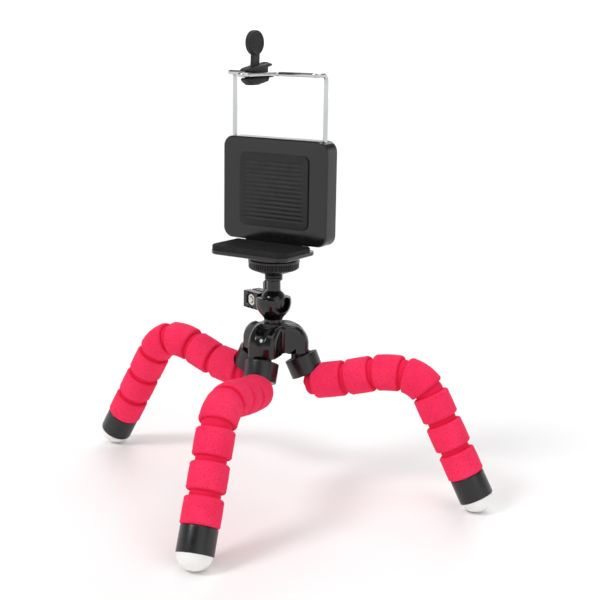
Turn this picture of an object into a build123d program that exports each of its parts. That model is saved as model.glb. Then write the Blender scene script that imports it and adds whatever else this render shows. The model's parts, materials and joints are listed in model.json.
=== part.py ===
from build123d import *
import math
import os

# Phone tripod: three bendable foam legs on a hub, a ball head and a sprung phone clamp.
# Lengths are millimetres and angles are degrees. The floor is z = 0.
# X runs along the jaws, and the phone faces -Y.

# Foam legs
BEAD_D = 17.0            # foam barrel
BEAD_LENGTH = 12.0
BEAD_EDGE = 1.2          # rounding of a barrel's rims
GROOVE = 2.4             # gap between two barrels
NECK_D = 13.4            # foam neck in a groove, a ball about the groove's middle
NECK_CLEARANCE = 0.06
NECK_FLARE = 24.0        # half-angle of the bore in a neck, where the wire swings
FLARE_STEP = 0.2         # the flare starts this much wider than the bore
SOCKET_DEPTH = 6.25      # flat floor of a socket from the groove's middle
BEAD_COUNT = 7
FIRST_BEAD_START = 2.7   # from the neck's bend point to the first barrel
FIRST_BEAD_LENGTH = 14.7
STUB_D = 12.8            # foam between the collar and the first barrel
STUB_START = -1.1
NECK_BALL_D = 7.4        # foam round the wire at the neck's bend point
CORE_D = 2.6             # soft steel core wire
CORE_CLEARANCE = 0.3
NECK_BORE_D = 4.0        # wider bore round the wire's bend below the collar
PLUG_D = 13.0            # end of the foam inside the end cap
PLUG_LENGTH = 4.0

# End caps and feet
CAP_D = 16.0
CAP_LENGTH = 11.4
CAP_WALL = 1.4
CAP_EDGE = 0.5
FOOT_D = 16.0
FOOT_SET = 1.5           # centre of the dome inside the cap's rim
FOOT_PLUG_LENGTH = 2.6
CORE_IN_CAP = 5.2        # reach of the core wire into the cap
PAST = 1.0               # cutters run this far past a face

# Collars
COLLAR_TOP_D = 16.0
COLLAR_BOTTOM_D = 15.6
COLLAR_LENGTH = 9.4
COLLAR_LEAN = 25.0       # from the vertical
COLLAR_WALL = 1.3
COLLAR_CUP = 5.0         # depth of the open cup
NECK_DROP = 4.1          # from the collar's bottom to the neck's bend point
BEAD_TO_COLLAR = 0.2     # the first barrel is cut back by this much
SPIGOT_D = 9.0
PIVOT_D = 4.6
PIVOT_LENGTH = 5.6
SNAP_D = 5.2
SNAP_LENGTH = 1.2
SNAP_PLAY = 0.15         # free room above and below the snap ring
RUNNING_FIT = 0.05       # radial clearance of a turning fit

# Hub
ARM_AZIMUTH = 42.0       # the right arm; the others follow at thirds of a turn
ARM_RADIUS = 13.3        # swivel axis from the tripod's axis
ARM_WIDTH = 13.8
ARM_REACH = 16.95
ARM_ARC = 10.0           # outer bend of an arm
ARM_TO_COLLAR = 2.4      # above the collar's top centre
ARM_EDGE = 3.0           # rounding of an arm's outer edges
HUB_HEIGHT = 13.9
HUB_SEAT_R = 5.2         # flat round the ball head's neck
DISH_R = 9.0             # hollow along the top of an arm, seen along the arm
DISH_BEND = 9.5          # floor of the hollow, seen from the side
DISH_DEPTH = 1.6         # at the seat
DISH_END = 5.0           # angle up the arm's bend where the hollow runs out
DISH_LEAD = 10.0         # the hollow's cutter starts this much lower
VALLEY_R = 4.5           # upright hollow between two arms
ARCH_R = 4.6
ARCH_RISE = 0.6
COLLAR_TOP_Z = 63.8      # height of the collars' top centres

# Screws with a 1/4"-20 thread
QUARTER_D = 6.35
QUARTER_CLEARANCE = 0.05
HEX_HEAD_AF = 11.1
HEX_HEAD_H = 3.6
HEX_CLEARANCE = 0.15
HUB_WEB = 7.1            # hub material under the ball head
HUB_SCREW_RISE = 2.9     # above the hub's top

# Ball head
BALL_D = 12.6
BALL_RISE = 10.0         # ball centre above the hub's top
BALL_CLEARANCE = 0.05
CUP_D = 16.9
CUP_SHOULDER_D = 14.5
CUP_RIM = 2.3            # rim above the ball's centre
CUP_NECK_D = 8.8
CUP_NECK_H = 2.0
NOTCH_AZIMUTH = -17.8
NOTCH_W = 8.2
SLIT_W = 1.2
SLIT_DEPTH = 5.3         # below the ball's centre
EAR_INNER = 6.5
EAR_REACH = 18.0
EAR_HALF = 4.6
EAR_LOW = -4.9
EAR_HIGH = 3.2
EAR_EDGE = 1.0
CLAMP_R = 12.2           # clamp screw from the tripod's axis
CLAMP_RISE = -0.8        # clamp screw from the ball's centre
CLAMP_D = 3.0
CLAMP_CLEARANCE = 0.08
NUT_AF = 5.5
NUT_H = 2.2
NUT_SET = 0.8            # sunk below the ear's face
NUT_POCKET_AF = 6.0
WING_R = 9.3
WING_THICK = 2.2
WING_TILT = 42.0         # from the vertical towards the ears
WING_START = 8.4         # from the slit's middle
WING_END = 13.0
WING_TAPER = 0.6
WING_ROOT_HALF = 4.7
WING_ROOT_START = 6.2
WING_EDGE = 0.9
CLAMP_TIP = 10.4         # end of the clamp screw inside the knob
KNOB_D = 7.4
KNOB_START = 4.8
KNOB_END = 12.0
STEM_D = 6.4
STEM_FILLET = 0.8
FLANGE_RISE = 10.4       # flange above the ball's centre
FLANGE_D = 8.3
FLANGE_H = 1.4
ROD_D = 3.2              # camera screw's rod inside the stem
ROD_DEPTH = 9.6
RING_H = 1.4
RING_D = 8.3
SCREW_REACH = 4.6        # thread inside the holder
THREAD_CHAMFER = 0.6

# Lock wheel
WHEEL_GAP = 0.1
WHEEL_HUB_D = 9.0
WHEEL_D = 23.4
WHEEL_BOWL_H = 2.8
WHEEL_BAND_H = 2.9
WHEEL_LIP_D = 24.2
WHEEL_LIP_H = 1.4
WHEEL_RIBS = 60
RIB_DEPTH = 0.3
RIB_FOOT = 0.3           # half-width of a rib's foot, as a share of the pitch
RIB_CREST = 0.16         # half-width of its crest
HOLDER_GAP = 0.15        # between the wheel and the holder

# Holder
BOSS_D = 22.0
BOSS_H = 3.45
JAW_LEFT = -20.7
JAW_RIGHT = 21.0
JAW_FRONT = -24.0
JAW_BACK = 5.0
JAW_H = 1.9
JAW_CORNER = 5.0
JAW_EDGE = 0.7
PAD_H = 2.5
PAD_INSET = 0.25
PAD_EDGE = 0.6
PHONE_BACK = -1.6
PHONE_DEPTH = 7.8
GRIP = 75.6              # opening of the jaws as stored
BACK_PAD_H = 0.8
BACK_PAD_W = 38.0
BACK_PAD_TALL = 34.0
BACK_PAD_CORNER = 3.0
WIRE_D = 2.1
WIRE_HALF = 25.0         # frame legs from the middle
SHELL_WALL = 1.2
CHANNEL_D = 5.2
SHELL_HEIGHT = 48.0
SHELL_CORNER = 5.0
SHELL_EDGE = 0.8
COVER_H = 1.6
COVER_EDGE = 0.6
FIXING_X = 14.0
FIXING_Z = 17.0          # cover screws from the shell's middle height
FIXING_D = 1.8
FIXING_HEAD_D = 3.6
FIXING_HEAD_H = 0.9
FIXING_LENGTH = 5.0
FIXING_BOSS_D = 4.6
FIXING_PLAY = 0.1        # round a screw in the cover, and its head below the face
DRIVE_W = 0.6            # cross in a screw's head
DRIVE_DEPTH = 0.45
DRIVE_SPAN = 2.4
INSERT_D = 9.0
INSERT_H = 5.0
INSERT_GROOVE_W = 1.0
INSERT_GROOVE_DEPTH = 0.4
TOP_WALL = 2.4
FLOOR_WALL = 1.6

# Wire frame and clamp springs
BAR_Y = -3.0
BAR_ABOVE_PHONE = 1.6
LOOP_FRONT = -26.7
LOOP_HALF = 2.2
FRAME_BEND = 2.8
LOOP_BEND = 2.15
LEG_IN_SHELL = 25.0
WIRE_HOLE_CLEARANCE = 0.1
STOP_D = 4.8
STOP_H = 1.0
SPRING_WIRE = 0.6
SPRING_D = 4.1
SPRING_TURNS = 11
SPRING_GAP = 0.1

# Upper jaw
JAW_WIDTH = 6.8
WEB_W = 1.9
LOWER_TIP = (-25.5, -1.0)
LOWER_CHIN = (-22.2, -2.7)
LOWER_TEETH = (-14.2, -2.5)
LOWER_NOSE_DROP = 1.6
NOSE_TO_PHONE = 0.5      # in front of the phone's face
LOWER_BACK = (-3.3, 0.1)
UPPER_TIP = (-26.0, 3.0)
UPPER_CHIN = (-23.6, 2.75)
UPPER_UNDER = (-6.5, 4.9)
UPPER_END = (-5.1, 5.9)
UPPER_CROWN = (-8.2, 6.8)
UPPER_FRONT = (-24.0, 4.6)
STRAP_FRONT = -19.8
STRAP_BACK = -13.5
STRAP_THICK = 1.6
TAB_D = 10.9
TAB_THICK = 3.3
TAB_RISE = 15.3
TAB_Y = -16.9
TAB_EDGE = 0.8
STRAP_ROOT_FRONT = 4.4   # heights above the phone's top edge
STRAP_ROOT_BACK = 5.2
LIP_SLANT = 0.6
NOSE_SLANT = (0.3, 0.1)
WEB_OVERLAP = 0.4        # the web runs into both lips
WEB_START = -22.9
WEB_UNDER_START = -22.4
WEB_END = -7.5
JAW_TO_WIRE = 0.05
TOOTH_COUNT = 4
TOOTH_D = 1.0
TOOTH_SET = 0.2          # centre of a tooth inside the lip
TOOTH_LENGTH = 4.8

# Each leg as it stands: the turn of its collar from the hub arm's line, the rise of its
# first barrel, the bends in its first three grooves, and the bends within barrels 3 and 4.
# A bend upwards is positive. The fourth groove's bend sets the foot on the floor.
LEGS = {
    "right": {"turn": -32.0, "rise": 12.6, "grooves": (3.4, -4.0, -8.0), "barrels": (-14.0, -38.0)},
    "front": {"turn": 6.0, "rise": 8.5, "grooves": (3.5, 0.5, -11.0), "barrels": (-10.0, -38.0)},
    "left": {"turn": 19.0, "rise": 10.5, "grooves": (10.5, -1.0, -15.0), "barrels": (-25.0, -38.0)},
}
ARM_TURNS = {"right": 0, "front": -1, "left": 1}

# Heights of the stack, from the values above
ARM_BOTTOM_Z = COLLAR_TOP_Z + ARM_TO_COLLAR
HUB_TOP_Z = ARM_BOTTOM_Z + HUB_HEIGHT
BALL_Z = HUB_TOP_Z + BALL_RISE
FLANGE_Z = BALL_Z + FLANGE_RISE
RING_Z = FLANGE_Z + FLANGE_H
WHEEL_Z = RING_Z + RING_H + WHEEL_GAP
WHEEL_TOP_Z = WHEEL_Z + WHEEL_BOWL_H + WHEEL_BAND_H + WHEEL_LIP_H
BOSS_Z = WHEEL_TOP_Z + HOLDER_GAP
JAW_Z = BOSS_Z + BOSS_H
PAD_Z = JAW_Z + JAW_H
SEAT_Z = PAD_Z + PAD_H
JAW_TOP_Z = SEAT_Z + GRIP
WIRE_Z = JAW_TOP_Z + BAR_ABOVE_PHONE
SHELL_Z = SEAT_Z
SHELL_TOP_Z = SHELL_Z + SHELL_HEIGHT

# Depths of the holder's back, from the phone's back face
SHELL_FRONT = PHONE_BACK + BACK_PAD_H
WIRE_Y = SHELL_FRONT + SHELL_WALL + CHANNEL_D / 2
SHELL_BACK = WIRE_Y + CHANNEL_D / 2 + COVER_EDGE
SHELL_HALF = WIRE_HALF + CHANNEL_D / 2 + SHELL_WALL
COVER_BACK = SHELL_BACK + COVER_H
PHONE_FRONT = PHONE_BACK - PHONE_DEPTH
LOWER_NOSE = (PHONE_FRONT - NOSE_TO_PHONE, -LOWER_NOSE_DROP)
STOP_Z = SHELL_TOP_Z - LEG_IN_SHELL

UP = Vector(0, 0, 1)


def heading(azimuth):
    """Level unit vector at an azimuth."""
    a = math.radians(azimuth)
    return Vector(math.cos(a), math.sin(a), 0)


def slope(azimuth, rise):
    """Unit vector that climbs by rise in the upright plane at azimuth."""
    r = math.radians(rise)
    return heading(azimuth) * math.cos(r) + UP * math.sin(r)


def arm_azimuth(leg):
    return ARM_AZIMUTH + 120 * ARM_TURNS[leg]


def leg_azimuth(leg):
    return arm_azimuth(leg) + LEGS[leg]["turn"]


def pitch_axis(leg):
    """Axis about which a positive turn bends the leg upwards."""
    return heading(leg_azimuth(leg)).cross(UP)


def bent_step(point, azimuth, rise, length, bend):
    """End of a stretch of this length that turns steadily by bend, and its new rise."""
    if abs(bend) < 0.01:
        return point + slope(azimuth, rise) * length, rise
    chord = length * math.sin(math.radians(bend / 2)) / math.radians(bend / 2)
    return point + slope(azimuth, rise + bend / 2) * chord, rise + bend


def collar_top(leg):
    return heading(arm_azimuth(leg)) * ARM_RADIUS + UP * COLLAR_TOP_Z


def leg_layout(leg):
    """Collar, neck, barrels, grooves and foot of one leg along its centreline."""
    azimuth = leg_azimuth(leg)
    top = collar_top(leg)
    collar_rise = COLLAR_LEAN - 90
    down = slope(azimuth, collar_rise)
    neck = top + down * (COLLAR_LENGTH + NECK_DROP)
    rise = LEGS[leg]["rise"]
    start = neck + slope(azimuth, rise) * FIRST_BEAD_START
    end = start + slope(azimuth, rise) * FIRST_BEAD_LENGTH
    barrels = [(start, rise, FIRST_BEAD_LENGTH, 0.0)]
    grooves = []
    bends = list(LEGS[leg]["grooves"])
    inner = [0.0, LEGS[leg]["barrels"][0], LEGS[leg]["barrels"][1]]
    for bend, barrel_bend in zip(bends, inner):
        pivot = end + slope(azimuth, rise) * (GROOVE / 2)
        grooves.append((pivot, rise, bend))
        rise += bend
        start = pivot + slope(azimuth, rise) * (GROOVE / 2)
        barrels.append((start, rise, BEAD_LENGTH, barrel_bend))
        end, rise = bent_step(start, azimuth, rise, BEAD_LENGTH, barrel_bend)
    pivot = end + slope(azimuth, rise) * (GROOVE / 2)
    straight_beads = BEAD_COUNT - len(barrels)
    lower = straight_beads * (BEAD_LENGTH + GROOVE) - GROOVE / 2 + CAP_LENGTH - FOOT_SET
    landing = math.degrees(math.asin((FOOT_D / 2 - pivot.Z) / lower))
    grooves.append((pivot, rise, landing - rise))
    for k in range(straight_beads):
        start = pivot + slope(azimuth, landing) * (GROOVE / 2)
        barrels.append((start, landing, BEAD_LENGTH, 0.0))
        end = start + slope(azimuth, landing) * BEAD_LENGTH
        pivot = end + slope(azimuth, landing) * (GROOVE / 2)
        if k < straight_beads - 1:
            grooves.append((pivot, landing, 0.0))
    foot = end + slope(azimuth, landing) * (CAP_LENGTH - FOOT_SET)
    return {
        "azimuth": azimuth, "top": top, "collar_rise": collar_rise, "neck": neck,
        "barrels": barrels, "grooves": grooves, "cap": end, "landing": landing, "foot": foot,
    }


LAYOUT = {leg: leg_layout(leg) for leg in LEGS}


def footprint_centre():
    """Middle of the box round the three feet, seen from above."""
    feet = [LAYOUT[leg]["foot"] for leg in LEGS]
    reach = FOOT_D / 2
    low_x = min(f.X for f in feet) - reach
    high_x = max(f.X for f in feet) + reach
    low_y = min(f.Y for f in feet) - reach
    high_y = max(f.Y for f in feet) + reach
    return Vector((low_x + high_x) / 2, (low_y + high_y) / 2, 0)


# The tripod's axis, measured from the origin in the middle of the footprint
AXIS_X = -footprint_centre().X
AXIS_Y = -footprint_centre().Y


def across(point, azimuth, rise):
    """Plane at point that faces along the slope, with its first axis upwards."""
    forward = slope(azimuth, rise)
    upward = slope(azimuth, rise + 90)
    return Plane(origin=point, x_dir=upward, z_dir=forward)


def rod(start, direction, diameter, length):
    """Round bar from a point along a direction."""
    return extrude(Plane(origin=start, z_dir=direction) * Circle(diameter / 2), length)


def ball(centre, diameter):
    return Pos(*centre) * Sphere(diameter / 2)


def disc(diameter, low, high):
    """Upright round bar on the tripod's axis between two heights."""
    return Pos(0, 0, low) * Cylinder(diameter / 2, high - low, align=(Align.CENTER, Align.CENTER, Align.MIN))


def hexagon(plane, across_flats, depth):
    return extrude(plane * RegularPolygon(across_flats / 2, 6, major_radius=False), depth)


def round_rims(solid, radius):
    """Round the closed circular edges at both ends of a bar."""
    return fillet(solid.edges().filter_by(lambda edge: edge.is_closed), radius)


def bent_bar(azimuth, start, rise, length, bend, outline):
    """Bar of this cross-section, straight or steadily bent."""
    section = across(start, azimuth, rise) * outline
    if abs(bend) < 0.01:
        return extrude(section, length)
    radius = length / math.radians(abs(bend))
    side = 1 if bend > 0 else -1
    centre = start + slope(azimuth, rise + 90) * (radius * side)
    turn = heading(azimuth).cross(UP) * side
    return revolve(section, Axis(centre, turn), abs(bend))


def barrel(azimuth, start, rise, length, bend):
    """One bored foam barrel with rounded rims."""
    ring = Circle(BEAD_D / 2) - Circle(CORE_D / 2 + CORE_CLEARANCE)
    body = bent_bar(azimuth, start, rise, length, bend, ring)
    rims = body.edges().filter_by(lambda edge: edge.is_closed and edge.radius > NECK_D / 2)
    return fillet(rims, BEAD_EDGE)


def groove_neck(azimuth, pivot, rise):
    """Ball-shaped neck beyond a barrel's end, with a flared bore."""
    along = slope(azimuth, rise)
    base = pivot - along * (GROOVE / 2)
    neck = Plane(origin=pivot, z_dir=along) * Sphere(NECK_D / 2) & rod(base, along, NECK_D + PAST, NECK_D)
    low = CORE_D / 2 + CORE_CLEARANCE + FLARE_STEP
    high = low + NECK_D * math.tan(math.radians(NECK_FLARE))
    return neck - Plane(origin=base, z_dir=along) * Cone(
        low, high, NECK_D, align=(Align.CENTER, Align.CENTER, Align.MIN))


def groove_socket(azimuth, pivot, rise):
    """Cutter for the socket that the neck before it turns in."""
    along = slope(azimuth, rise)
    cutter = Plane(origin=pivot, z_dir=along) * Sphere(NECK_D / 2 + NECK_CLEARANCE)
    return cutter & rod(pivot, along, NECK_D + PAST, SOCKET_DEPTH)


def core_path(leg):
    """Centreline of the core wire from the collar's floor to the end cap."""
    lay = LAYOUT[leg]
    azimuth = lay["azimuth"]
    collar_down = slope(azimuth, lay["collar_rise"])
    cup_floor = lay["top"] + collar_down * COLLAR_CUP
    bend_start = lay["top"] + collar_down * COLLAR_LENGTH
    bend_end = lay["neck"] + slope(azimuth, lay["barrels"][0][1]) * NECK_DROP
    pieces = [Line(cup_floor, bend_start), TangentArc(bend_start, bend_end, tangent=collar_down)]
    point = bend_end
    for k, (start, rise, length, bend) in enumerate(lay["barrels"]):
        end, last_rise = bent_step(start, azimuth, rise, length, bend)
        if abs(bend) < 0.01:
            pieces.append(Line(point, end))
        else:
            pieces.append(TangentArc(point, end, tangent=slope(azimuth, rise)))
        point = end
        if k < len(lay["grooves"]):
            next_start = lay["barrels"][k + 1][0]
            if abs(lay["grooves"][k][2]) < 0.01:
                pieces.append(Line(point, next_start))
            else:
                pieces.append(TangentArc(point, next_start, tangent=slope(azimuth, last_rise)))
            point = next_start
    pieces.append(Line(point, point + slope(azimuth, lay["landing"]) * CORE_IN_CAP))
    return Wire(pieces)


def core_wire(leg):
    path = core_path(leg)
    return sweep(Plane(origin=path @ 0, z_dir=path % 0) * Circle(CORE_D / 2), path=path)


def collar(leg):
    """Leaning cup with an upright spigot that snaps into the hub's arm."""
    lay = LAYOUT[leg]
    azimuth = lay["azimuth"]
    down = slope(azimuth, lay["collar_rise"])
    bottom = lay["top"] + down * COLLAR_LENGTH
    outside = loft([
        across(lay["top"], azimuth, lay["collar_rise"]) * Circle(COLLAR_TOP_D / 2),
        across(bottom, azimuth, lay["collar_rise"]) * Circle(COLLAR_BOTTOM_D / 2),
    ])
    cup = rod(lay["top"] - down * PAST, down, COLLAR_TOP_D - 2 * COLLAR_WALL, COLLAR_CUP + PAST)
    shell = outside - cup
    floor = lay["top"].Z - COLLAR_CUP
    axis = Vector(lay["top"].X, lay["top"].Y, floor)
    shoulder = ARM_BOTTOM_Z - RUNNING_FIT
    spigot = rod(axis, UP, SPIGOT_D, shoulder - floor) - outside
    spigot += rod(axis, UP, SPIGOT_D, shoulder - floor) & cup
    pivot = rod(axis, UP, PIVOT_D, shoulder - floor + PIVOT_LENGTH)
    snap = rod(axis + UP * (shoulder - floor + PIVOT_LENGTH - SNAP_LENGTH), UP, SNAP_D, SNAP_LENGTH)
    body = shell + spigot + pivot + snap
    return body - rod(lay["top"] + down * COLLAR_CUP, down, CORE_D, COLLAR_LENGTH - COLLAR_CUP + PAST)


def first_bead(leg):
    """First barrel with its stub under the collar, cut back below the collar."""
    lay = LAYOUT[leg]
    azimuth = lay["azimuth"]
    start, rise, length, bend = lay["barrels"][0]
    along = slope(azimuth, rise)
    stub = Circle(STUB_D / 2) - Circle(CORE_D / 2 + CORE_CLEARANCE)
    body = barrel(azimuth, start, rise, length, bend)
    body += bent_bar(azimuth, lay["neck"] + along * STUB_START, rise, FIRST_BEAD_START - STUB_START, 0, stub)
    body += Plane(origin=lay["neck"], z_dir=along) * Sphere(NECK_BALL_D / 2)
    turn = rise - lay["collar_rise"]
    bend_r = NECK_DROP / math.tan(math.radians(turn / 2))
    bend_start = lay["top"] + slope(azimuth, lay["collar_rise"]) * COLLAR_LENGTH
    bore = Circle(NECK_BORE_D / 2)
    body -= bent_bar(azimuth, bend_start, lay["collar_rise"], bend_r * math.radians(turn), turn, bore)
    up_collar = slope(azimuth, lay["collar_rise"] + 180)
    cut_from = lay["neck"] + up_collar * (NECK_DROP - BEAD_TO_COLLAR)
    return body - rod(cut_from, up_collar, COLLAR_TOP_D + 2 * BEAD_TO_COLLAR, BEAD_D)


def foam_bead(leg, k):
    """Barrel k of the sleeve with the neck that turns in the next barrel's socket."""
    lay = LAYOUT[leg]
    azimuth = lay["azimuth"]
    start, rise, length, bend = lay["barrels"][k]
    if k == 0:
        body = first_bead(leg)
    else:
        body = barrel(azimuth, start, rise, length, bend)
        body -= groove_socket(azimuth, lay["grooves"][k - 1][0], rise)
    if k < len(lay["grooves"]):
        pivot, end_rise, groove_bend = lay["grooves"][k]
        return body + groove_neck(azimuth, pivot, end_rise)
    plug = Circle(PLUG_D / 2) - Circle(CORE_D / 2 + CORE_CLEARANCE)
    return body + bent_bar(azimuth, lay["cap"], rise, PLUG_LENGTH, 0, plug)


def end_cap(leg):
    """Black cup: the foam's plug enters at the top and the foot's plug at the bottom."""
    lay = LAYOUT[leg]
    along = slope(lay["azimuth"], lay["landing"])
    before = lay["cap"] - along * PAST
    body = round_rims(rod(lay["cap"], along, CAP_D, CAP_LENGTH), CAP_EDGE)
    body -= rod(before, along, PLUG_D, PLUG_LENGTH + PAST)
    rim = lay["cap"] + along * (CAP_LENGTH - FOOT_SET)
    body -= rod(rim, along, CAP_D - 2 * CAP_WALL, FOOT_SET + PAST)
    body -= rod(rim - along * FOOT_PLUG_LENGTH, along, PLUG_D - 2 * CAP_WALL, FOOT_PLUG_LENGTH + PAST)
    return body - rod(before, along, CORE_D, CORE_IN_CAP + PAST)


def foot(leg):
    """White rubber dome with a plug that grips inside the cap."""
    lay = LAYOUT[leg]
    along = slope(lay["azimuth"], lay["landing"])
    rim = lay["foot"] + along * FOOT_SET
    dome = ball(lay["foot"], FOOT_D) - rod(rim - along * FOOT_D, along, FOOT_D + PAST, FOOT_D)
    seat = rod(lay["foot"], along, CAP_D - 2 * CAP_WALL, FOOT_SET)
    plug = rod(lay["foot"] - along * FOOT_PLUG_LENGTH, along, PLUG_D - 2 * CAP_WALL, FOOT_PLUG_LENGTH)
    return dome + seat + plug


def hub_plan():
    """Plan of the three arms, run past their ends, with a rounded valley between each two."""
    reach = 2 * ARM_REACH
    arms = [Rot(0, 0, arm_azimuth(leg)) * Pos(reach / 2, 0) * Rectangle(reach, ARM_WIDTH) for leg in LEGS]
    plan = arms[0] + arms[1] + arms[2]
    valleys = [corner for corner in plan.vertices() if math.hypot(corner.X, corner.Y) < ARM_WIDTH]
    return fillet(valleys, VALLEY_R)


def hub_roof():
    """Round body that gives the arms their level tops, their bend and their ends."""
    bend_r = ARM_REACH - ARM_ARC
    bend_z = HUB_TOP_Z - ARM_ARC
    with BuildSketch(Plane.XZ) as side:
        with BuildLine():
            Line((0, HUB_TOP_Z), (bend_r, HUB_TOP_Z))
            RadiusArc((bend_r, HUB_TOP_Z), (ARM_REACH, bend_z), ARM_ARC)
            Line((ARM_REACH, bend_z), (ARM_REACH, ARM_BOTTOM_Z))
            Line((ARM_REACH, ARM_BOTTOM_Z), (0, ARM_BOTTOM_Z))
            Line((0, ARM_BOTTOM_Z), (0, HUB_TOP_Z))
        make_face()
    return revolve(side.sketch, Axis.Z)


def is_hub_wall(face):
    """Whether a face is an arm's upright side or a valley."""
    if abs(face.normal_at().Z) > 0.01:
        return False
    centre = face.center()
    return face.geom_type == GeomType.PLANE or math.hypot(centre.X, centre.Y) < ARM_WIDTH


def hub_arms():
    """Three arms in one, with the edges round their tops and ends rounded."""
    body = extrude(Plane.XY.offset(ARM_BOTTOM_Z) * hub_plan(), HUB_HEIGHT) & hub_roof()
    walls = [face for face in body.faces() if is_hub_wall(face)]
    others = [face for face in body.faces() if not is_hub_wall(face) and face.normal_at().Z > -0.5]
    beside_walls = {edge for face in walls for edge in face.edges()}
    beside_others = {edge for face in others for edge in face.edges()}
    return fillet(list(beside_walls & beside_others), ARM_EDGE)


def arm_dish(azimuth):
    """Cutter for the leaf-shaped hollow along an arm's bend.

    Seen from the side its floor is an arc from the arm's bend to the ball head's seat.
    """
    outward = heading(azimuth)
    turn = outward.cross(UP)
    low = outward * (ARM_REACH - ARM_ARC) + UP * (HUB_TOP_Z - ARM_ARC) + slope(azimuth, DISH_END) * ARM_ARC
    high = outward * HUB_SEAT_R + UP * (HUB_TOP_Z - DISH_DEPTH)
    chord = high - low
    inward = turn.cross(chord).normalized()
    centre = (low + high) * 0.5 + inward * math.sqrt(DISH_BEND ** 2 - chord.length ** 2 / 4)
    foot_line = low - centre
    first = math.degrees(math.atan2(foot_line.Z, foot_line.dot(outward))) - DISH_LEAD
    span = 2 * math.degrees(math.asin(chord.length / 2 / DISH_BEND)) + DISH_LEAD
    start = slope(azimuth, first)
    section = Plane(origin=centre + start * (DISH_BEND + DISH_R), x_dir=start, z_dir=turn.cross(start))
    return revolve(section * Circle(DISH_R), Axis(centre, turn), span)


def hub_body():
    """Three-armed moulding with hollows on its arms and low arches between them."""
    body = hub_arms()
    for leg in LEGS:
        azimuth = arm_azimuth(leg)
        body -= arm_dish(azimuth)
        valley = heading(azimuth + 60)
        arch = UP * (ARM_BOTTOM_Z + ARCH_RISE - ARCH_R) + valley * HUB_SEAT_R
        body -= rod(arch, valley, 2 * ARCH_R, ARM_REACH)
        arm = heading(azimuth) * ARM_RADIUS + UP * (ARM_BOTTOM_Z - PAST)
        body -= rod(arm, UP, PIVOT_D + 2 * RUNNING_FIT, PIVOT_LENGTH + PAST)
        snap = heading(azimuth) * ARM_RADIUS + UP * (ARM_BOTTOM_Z + PIVOT_LENGTH - SNAP_LENGTH - SNAP_PLAY)
        body -= rod(snap, UP, SNAP_D + 2 * RUNNING_FIT, SNAP_LENGTH + 2 * SNAP_PLAY)
    head = HUB_TOP_Z - HUB_WEB
    below = ARM_BOTTOM_Z - PAST
    body -= hexagon(Plane.XY.offset(below), HEX_HEAD_AF + 2 * HEX_CLEARANCE, head - below)
    return body - disc(QUARTER_D + 2 * QUARTER_CLEARANCE, head - PAST, HUB_TOP_Z + PAST)


def hub_screw():
    """Hex bolt that passes up through the hub into the ball cup."""
    head = HUB_TOP_Z - HUB_WEB
    bolt = hexagon(Plane.XY.offset(head - HEX_HEAD_H), HEX_HEAD_AF, HEX_HEAD_H)
    return bolt + disc(QUARTER_D, head - HEX_HEAD_H / 2, HUB_TOP_Z + HUB_SCREW_RISE)


def ear_point(across_slit, out, z):
    """Point in the clamp ears' own directions: from the slit's middle, outwards, upwards."""
    return heading(NOTCH_AZIMUTH + 180) * out + heading(NOTCH_AZIMUTH + 90) * across_slit + UP * z


def ball_cup():
    """Split cup with a notch on one side and two clamp ears on the other."""
    centre = UP * BALL_Z
    rim = BALL_Z + CUP_RIM
    body = ball(centre, CUP_D) & disc(CUP_D + PAST, HUB_TOP_Z, rim)
    body += disc(CUP_NECK_D, HUB_TOP_Z, BALL_Z - CUP_D / 4)
    body += Pos(0, 0, HUB_TOP_Z + CUP_NECK_H) * Cone(
        CUP_NECK_D / 2, CUP_SHOULDER_D / 2, CUP_D / 4, align=(Align.CENTER, Align.CENTER, Align.MIN))
    ears = Pos(0, 0, BALL_Z) * Rot(0, 0, NOTCH_AZIMUTH + 180) * Pos(
        (EAR_INNER + EAR_REACH) / 2, 0, (EAR_LOW + EAR_HIGH) / 2) * Box(
        EAR_REACH - EAR_INNER, 2 * EAR_HALF, EAR_HIGH - EAR_LOW)
    tips = ears.edges().filter_by(lambda e: math.hypot(e.center().X, e.center().Y) > EAR_REACH - 1)
    body += fillet(tips, EAR_EDGE)
    body -= ball(centre, BALL_D + 2 * BALL_CLEARANCE)
    turn = Rot(0, 0, NOTCH_AZIMUTH)
    high = EAR_HIGH + PAST
    body -= turn * Pos(CUP_D / 2, 0, BALL_Z + high / 2) * Box(CUP_D, NOTCH_W, high)
    body -= rod(centre, heading(NOTCH_AZIMUTH), NOTCH_W, CUP_D)
    slit_reach = EAR_REACH + PAST
    body -= turn * Pos(-slit_reach / 2, 0, BALL_Z + (high - SLIT_DEPTH) / 2) * Box(
        slit_reach, SLIT_W, high + SLIT_DEPTH)
    axis_z = BALL_Z + CLAMP_RISE
    across_ears = heading(NOTCH_AZIMUTH + 90)
    outside = ear_point(-EAR_HALF - PAST, CLAMP_R, axis_z)
    body -= rod(outside, across_ears, CLAMP_D + 2 * CLAMP_CLEARANCE, 2 * EAR_HALF + 2 * PAST)
    pocket = Plane(origin=outside, x_dir=UP, z_dir=across_ears)
    body -= hexagon(pocket, NUT_POCKET_AF, NUT_H + NUT_SET + PAST)
    return body - disc(QUARTER_D + 2 * QUARTER_CLEARANCE, HUB_TOP_Z - PAST, BALL_Z)


def clamp_nut():
    across_ears = heading(NOTCH_AZIMUTH + 90)
    face = Plane(origin=ear_point(-EAR_HALF + NUT_SET, CLAMP_R, BALL_Z + CLAMP_RISE), x_dir=UP,
                 z_dir=across_ears)
    nut = hexagon(face, NUT_AF, NUT_H)
    return nut - rod(
        face.origin - across_ears * PAST, across_ears, CLAMP_D + 2 * CLAMP_CLEARANCE, NUT_H + 2 * PAST)


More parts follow.
